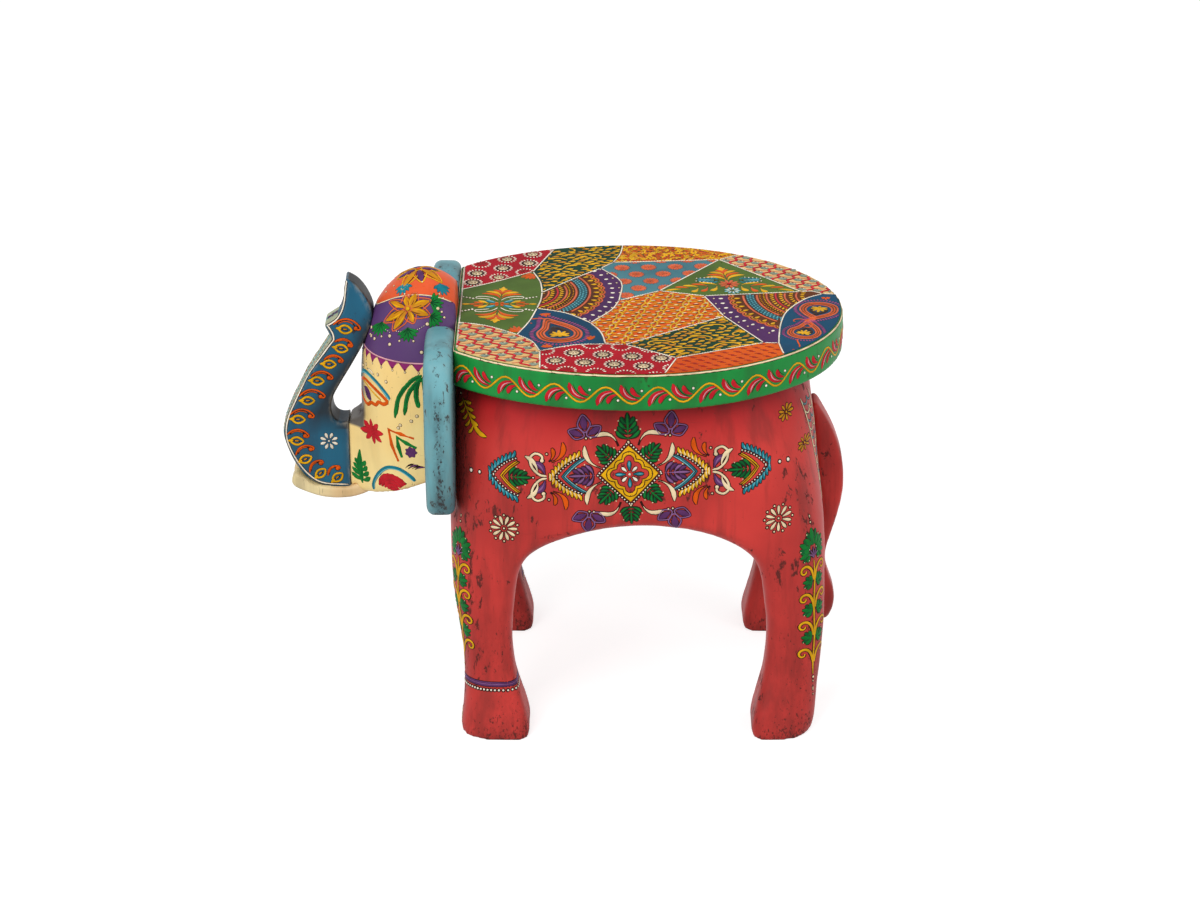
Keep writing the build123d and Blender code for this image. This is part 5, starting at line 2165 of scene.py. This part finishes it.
    def lotus(self) -> Motif:
        """Draws the outlined lotus of the purple band with its leaves and dots."""
        made, heart = Motif(), -193 + 256.5j
        petals = (
            (20, 20, 9), (62, 15, 9), (-18, 19, 9), (-68, 13, 8), (150, 18, 7), (200, 21, 9), (232, 20, 9),
            (100, 12, 8),
        )
        for turn, length, width in petals:
            petal = outlined_petal(length * 1.08, width * 1.3, CORAL, GOLD)
            petal.drop(complex(length * 0.3, 0.8), complex(length * 0.86, 0.6), 0.9, YELLOW, 0.1, 1.2, 0.4)
            petal.drop(complex(length * 0.2, -0.8), complex(length * 0.7, -0.8), 0.45, BROWN, -0.1, 1.0, 0.4)
            made.add(petal, heart, turn)
        made.dot(heart, 2.2, YELLOW, 0.4)
        leaves = Motif().fan(7, 130, 12.0, 1.9, GREEN, shrink=0.15).fan(5, 104, 9.0, 0.5, PINE, lift=0.4)
        leaves.scatter([turned(12.5, -40), turned(12.5, 20)], 1.1, CREAM)
        for spot, turn in ((-216 + 250j, -112), (-193 + 240.5j, -86), (-174 + 261.6j, 5), (-174 + 250.3j, -22)):
            made.add(leaves, spot, turn)
        made.beads(bow(-206 + 240j, -174 + 245j, -0.16, 10), 2.1, 0.5, WHITE)
        made.beads(bow(-224 + 249j, -208 + 238j, 0.05, 8), 2.4, 0.5, WHITE)
        dots = (
            -209 + 236j, -209 + 229j, -226 + 249.8j, -176 + 243j, -181 + 220j, -223 + 238j, -167 + 257j,
            -226 + 242j,
        )
        return made.scatter(dots, 1.7, CREAM)

    def crown(self) -> Motif:
        """Draws the crown's flower, its leaves and the white line round it."""
        middle, (along, across) = HeadPaint.crown_middle, HeadPaint.crown_reach
        turns = [k * math.pi / 40 for k in range(80)]
        ring = [
            complex(middle + (along + 0.6) * math.cos(turn), (across + 0.6) * math.sin(turn)) for turn in turns
        ]
        kept = [spot for spot in ring if spot.real < -154]
        start = max(range(len(kept)), key=lambda k: abs(kept[k] - kept[k - 1]))
        made = Motif().line(kept[start:] + kept[:start], 0.6, CREAM)
        for k in range(8):
            petal = outlined_petal(25.0 if k % 2 else 19.0, 11.0, YELLOW, (PURPLE, GOLD)[k % 2])
            made.add(petal, -185 + 0j, 45 * k + 12)
        made.dot(-185 + 0j, 2.4, ORANGE, 0.3)
        leaves = Motif().fan(6, 130, 10.0, 1.8, TEAL, shrink=0.15)
        for side in (-1, 1):
            for x, turn in ((-196, -105), (-166, -60)):
                made.add(leaves, complex(x, side * 15.5), -side * turn).dot(complex(x, side * 25), 0.9, CREAM)
            made.scatter(
                (complex(x, side * 18 * (1 - abs(x + 181) / 60)) for x in (-181, -206, -213)), 0.9, CREAM
            )
        return made

    def border(self) -> Motif:
        """Draws the trunk's border of hooks, its white edge line and its flower."""
        edge = through(TRUNK_EDGE[:5], 4)[:-1] + through(TRUNK_EDGE[4:7], 3)[:-1] + through(TRUNK_EDGE[6:], 4)
        made = Motif().line(inset(edge, 1.4), 0.75, WHITE)
        for link in TRUNK_LINKS:
            made.add(hook(*link))
        flower = Motif().rosette(8, 2.4, 8.4, 1.55, WHITE, 22.5).dot(0j, 1.1, WHITE)
        return made.add(flower, -267 + 238j)

    def outer_edge(self) -> Motif:
        """Draws the dotted lines down the trunk's outer edge."""
        made = Motif().add(Motif().rosette(6, 0.5, 4.0, 1.0, PURPLE), 0 + 353j)
        for side in (-7.5, 7.5):
            for k in range(34):
                low, high = complex(side, 206 + 3.7 * k), complex(side, 208.4 + 3.7 * k)
                made.drop(low, high, 0.8, (ORANGE, LEAF)[k % 2], steps=3)
        return made


# ---------------------------------------------------------------- the studio


@dataclass(frozen=True)
class Studio:
    """Pale floor, soft lamps and the camera."""

    lens: float = 102.687
    sensor: float = 36.0
    camera_place: Place = (0.031566, -2.7755, 1.4987)
    camera_tilt: float = 65.301
    floor_size: float = 12.0
    floor_colour: Colour = (0.5, 0.5, 0.5, 1.0)
    floor_glow: float = 0.74
    sky_strength: float = 0.5
    aim: Place = (0.0, 0.0, 0.2)
    lamps: tuple[tuple[str, Place, float, float], ...] = (
        ("key", (-1.2, -2.1, 2.1), 1.6, 50.0),
        ("fill", (1.9, -1.2, 1.5), 1.4, 13.0),
        ("top", (0.2, 0.5, 2.4), 1.6, 5.0),
    )

    def build(self) -> None:
        """Builds floor, world, lamps and camera."""
        self.build_floor()
        self.build_world()
        for lamp in self.lamps:
            self.add_lamp(*lamp)
        camera = link_object("camera", bpy.data.cameras.new("camera"))
        camera.location = self.camera_place
        camera.rotation_euler = (math.radians(self.camera_tilt), 0.0, 0.0)
        camera.data.lens = self.lens
        camera.data.sensor_width = self.sensor
        camera.data.sensor_fit = "HORIZONTAL"
        bpy.context.scene.camera = camera
        bpy.context.scene.view_settings.view_transform = "Standard"

    def seen_directly(self, tree: ShaderTree) -> Any:
        """Returns 1 for rays that come from the camera, from gloss or through glass."""
        path = tree.add("ShaderNodeLightPath").outputs
        return tree.most(path["Is Camera Ray"], tree.most(path["Is Glossy Ray"], path["Is Transmission Ray"]))

    def build_floor(self) -> None:
        """Builds the floor, which shows near white and keeps the stool's shadow."""
        half = self.floor_size / 2
        mesh = bpy.data.meshes.new("floor")
        corners = [(-half, -half, 0.0), (half, -half, 0.0), (half, half, 0.0), (-half, half, 0.0)]
        mesh.from_pydata(corners, [], [(0, 1, 2, 3)])
        floor = link_object("floor", mesh)
        material = bpy.data.materials.new("floor")
        material.use_nodes = True
        tree = ShaderTree(material.node_tree)
        material.node_tree.nodes.clear()
        diffuse = tree.get("ShaderNodeBsdfDiffuse", {"Color": self.floor_colour})
        glow = tree.get(
            "ShaderNodeEmission", {"Strength": tree.times(self.seen_directly(tree), self.floor_glow)}
        )
        tree.add(
            "ShaderNodeOutputMaterial", {"Surface": tree.get("ShaderNodeAddShader", {0: diffuse, 1: glow})}
        )
        mesh.materials.append(material)

    def build_world(self) -> None:
        """Builds the even light around the stool."""
        world = bpy.data.worlds.new("studio")
        bpy.context.scene.world = world
        world.use_nodes = True
        tree = ShaderTree(world.node_tree)
        world.node_tree.nodes.clear()
        strength = tree.most(self.seen_directly(tree), self.sky_strength)
        sky = tree.get("ShaderNodeBackground", {"Color": (1.0, 1.0, 1.0, 1.0), "Strength": strength})
        tree.add("ShaderNodeOutputWorld", {"Surface": sky})

    def add_lamp(self, name: str, place: Place, size: float, power: float) -> None:
        """Adds a square soft lamp that points at the stool."""
        lamp = link_object(name, bpy.data.lights.new(name, "AREA"))
        lamp.data.size = size
        lamp.data.energy = power
        lamp.location = place
        lamp.rotation_euler = (Vector(self.aim) - Vector(place)).to_track_quat("-Z", "Y").to_euler()


RED_BODY = BodyPaint(
    "red_body_paint", srgb(212, 62, 56), srgb(180, 50, 46), srgb(70, 34, 30), glaze_amount=0.85, edge_wear=0.0,
    streaks=0.36,
)
BLUE_TRUNK = TrunkPaint("blue_trunk_paint", srgb(34, 104, 134), srgb(26, 80, 106))
TEAL_EARS = RubbedPaint(
    "teal_ear_paint", srgb(112, 168, 176), srgb(84, 142, 154), glaze_amount=0.8, edge_wear=0.05
)
CREAM_TUSKS = RubbedPaint("cream_tusk_paint", srgb(246, 218, 168), srgb(222, 184, 130), glaze_amount=0.4)
CREAM_HEAD = HeadPaint(
    "cream_head_paint", srgb(255, 228, 156), srgb(250, 212, 134), glaze_amount=0.3, edge_wear=0.05, streaks=0.05
)
GREEN_SEAT = RubbedPaint("green_seat_paint", srgb(24, 146, 62), srgb(16, 120, 50), edge_wear=0.0, glaze_and_shade=0.5)

TORSO = ("torso_left", "torso_centre", "torso_right")
LEGS = ("leg_front_left", "leg_front_right", "leg_rear_left", "leg_rear_right")
BOARDS = ("seat_board_left", "seat_board_centre", "seat_board_right")
CARVED = (
    (CarvedPiece("carved_body", TORSO + LEGS, "painted_body", 0.003, 5, 0.0006, 0.05), RED_BODY),
    (CarvedPiece("carved_head", ("head",), "painted_head", 0.0022), CREAM_HEAD),
    (CarvedPiece("sawn_trunk", ("trunk",), "painted_trunk", 0.0013, 3), BLUE_TRUNK),
    (CarvedPiece("slab_ear_left", ("ear_left",), "painted_ears", 0.0022, 3), TEAL_EARS),
    (CarvedPiece("slab_ear_right", ("ear_right",), "painted_ears", 0.0022, 3), TEAL_EARS),
    (CarvedPiece("peg_tusk_left", ("tusk_left",), "painted_tusks", 0.0011, 3), CREAM_TUSKS),
    (CarvedPiece("peg_tusk_right", ("tusk_right",), "painted_tusks", 0.0011, 3), CREAM_TUSKS),
    (CarvedPiece("carved_tail", ("tail",), "painted_body", 0.0022), RED_BODY),
    (CarvedPiece("seat_slab", BOARDS, "painted_seat", 0.0022, 1, 0.0002), GREEN_SEAT),
)


def main() -> None:
    """Builds the stool's looks and its studio."""
    logging.basicConfig(level=logging.INFO, format="%(name)s: %(message)s")
    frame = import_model()
    build_rubbed_group()
    build_stroke_tree()
    build_dot_tree()
    Studio().build()
    surfaces = {}
    for piece, finish in CARVED:
        made = piece.build(frame)
        made.data.materials.append(bpy.data.materials.get(finish.name) or finish.material())
        surfaces[piece.name] = made
    seat_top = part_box("seat_board_centre")[1]
    middle_x = seat_top.x - PaintedSeat.rear_reach * MM
    PaintedSeat(surfaces["seat_slab"], middle_x, seat_top.z).build()
    mark_trunk_faces(surfaces["sawn_trunk"].data)
    add_glaze_and_shade(surfaces["carved_body"].data, body_shade_and_glaze)
    for name in ("slab_ear_left", "slab_ear_right"):
        add_glaze_and_shade(surfaces[name].data, ear_soot)
    PaintedBody(surfaces["carved_body"]).build()
    PaintedHead(surfaces["carved_head"], surfaces["sawn_trunk"]).build()
    wood = BareWood().material()
    for name, node in frame["nodes"].items():
        if "dowel" in name:
            node.data.materials.clear()
            node.data.materials.append(wood)


if __name__ == "__main__":
    main()
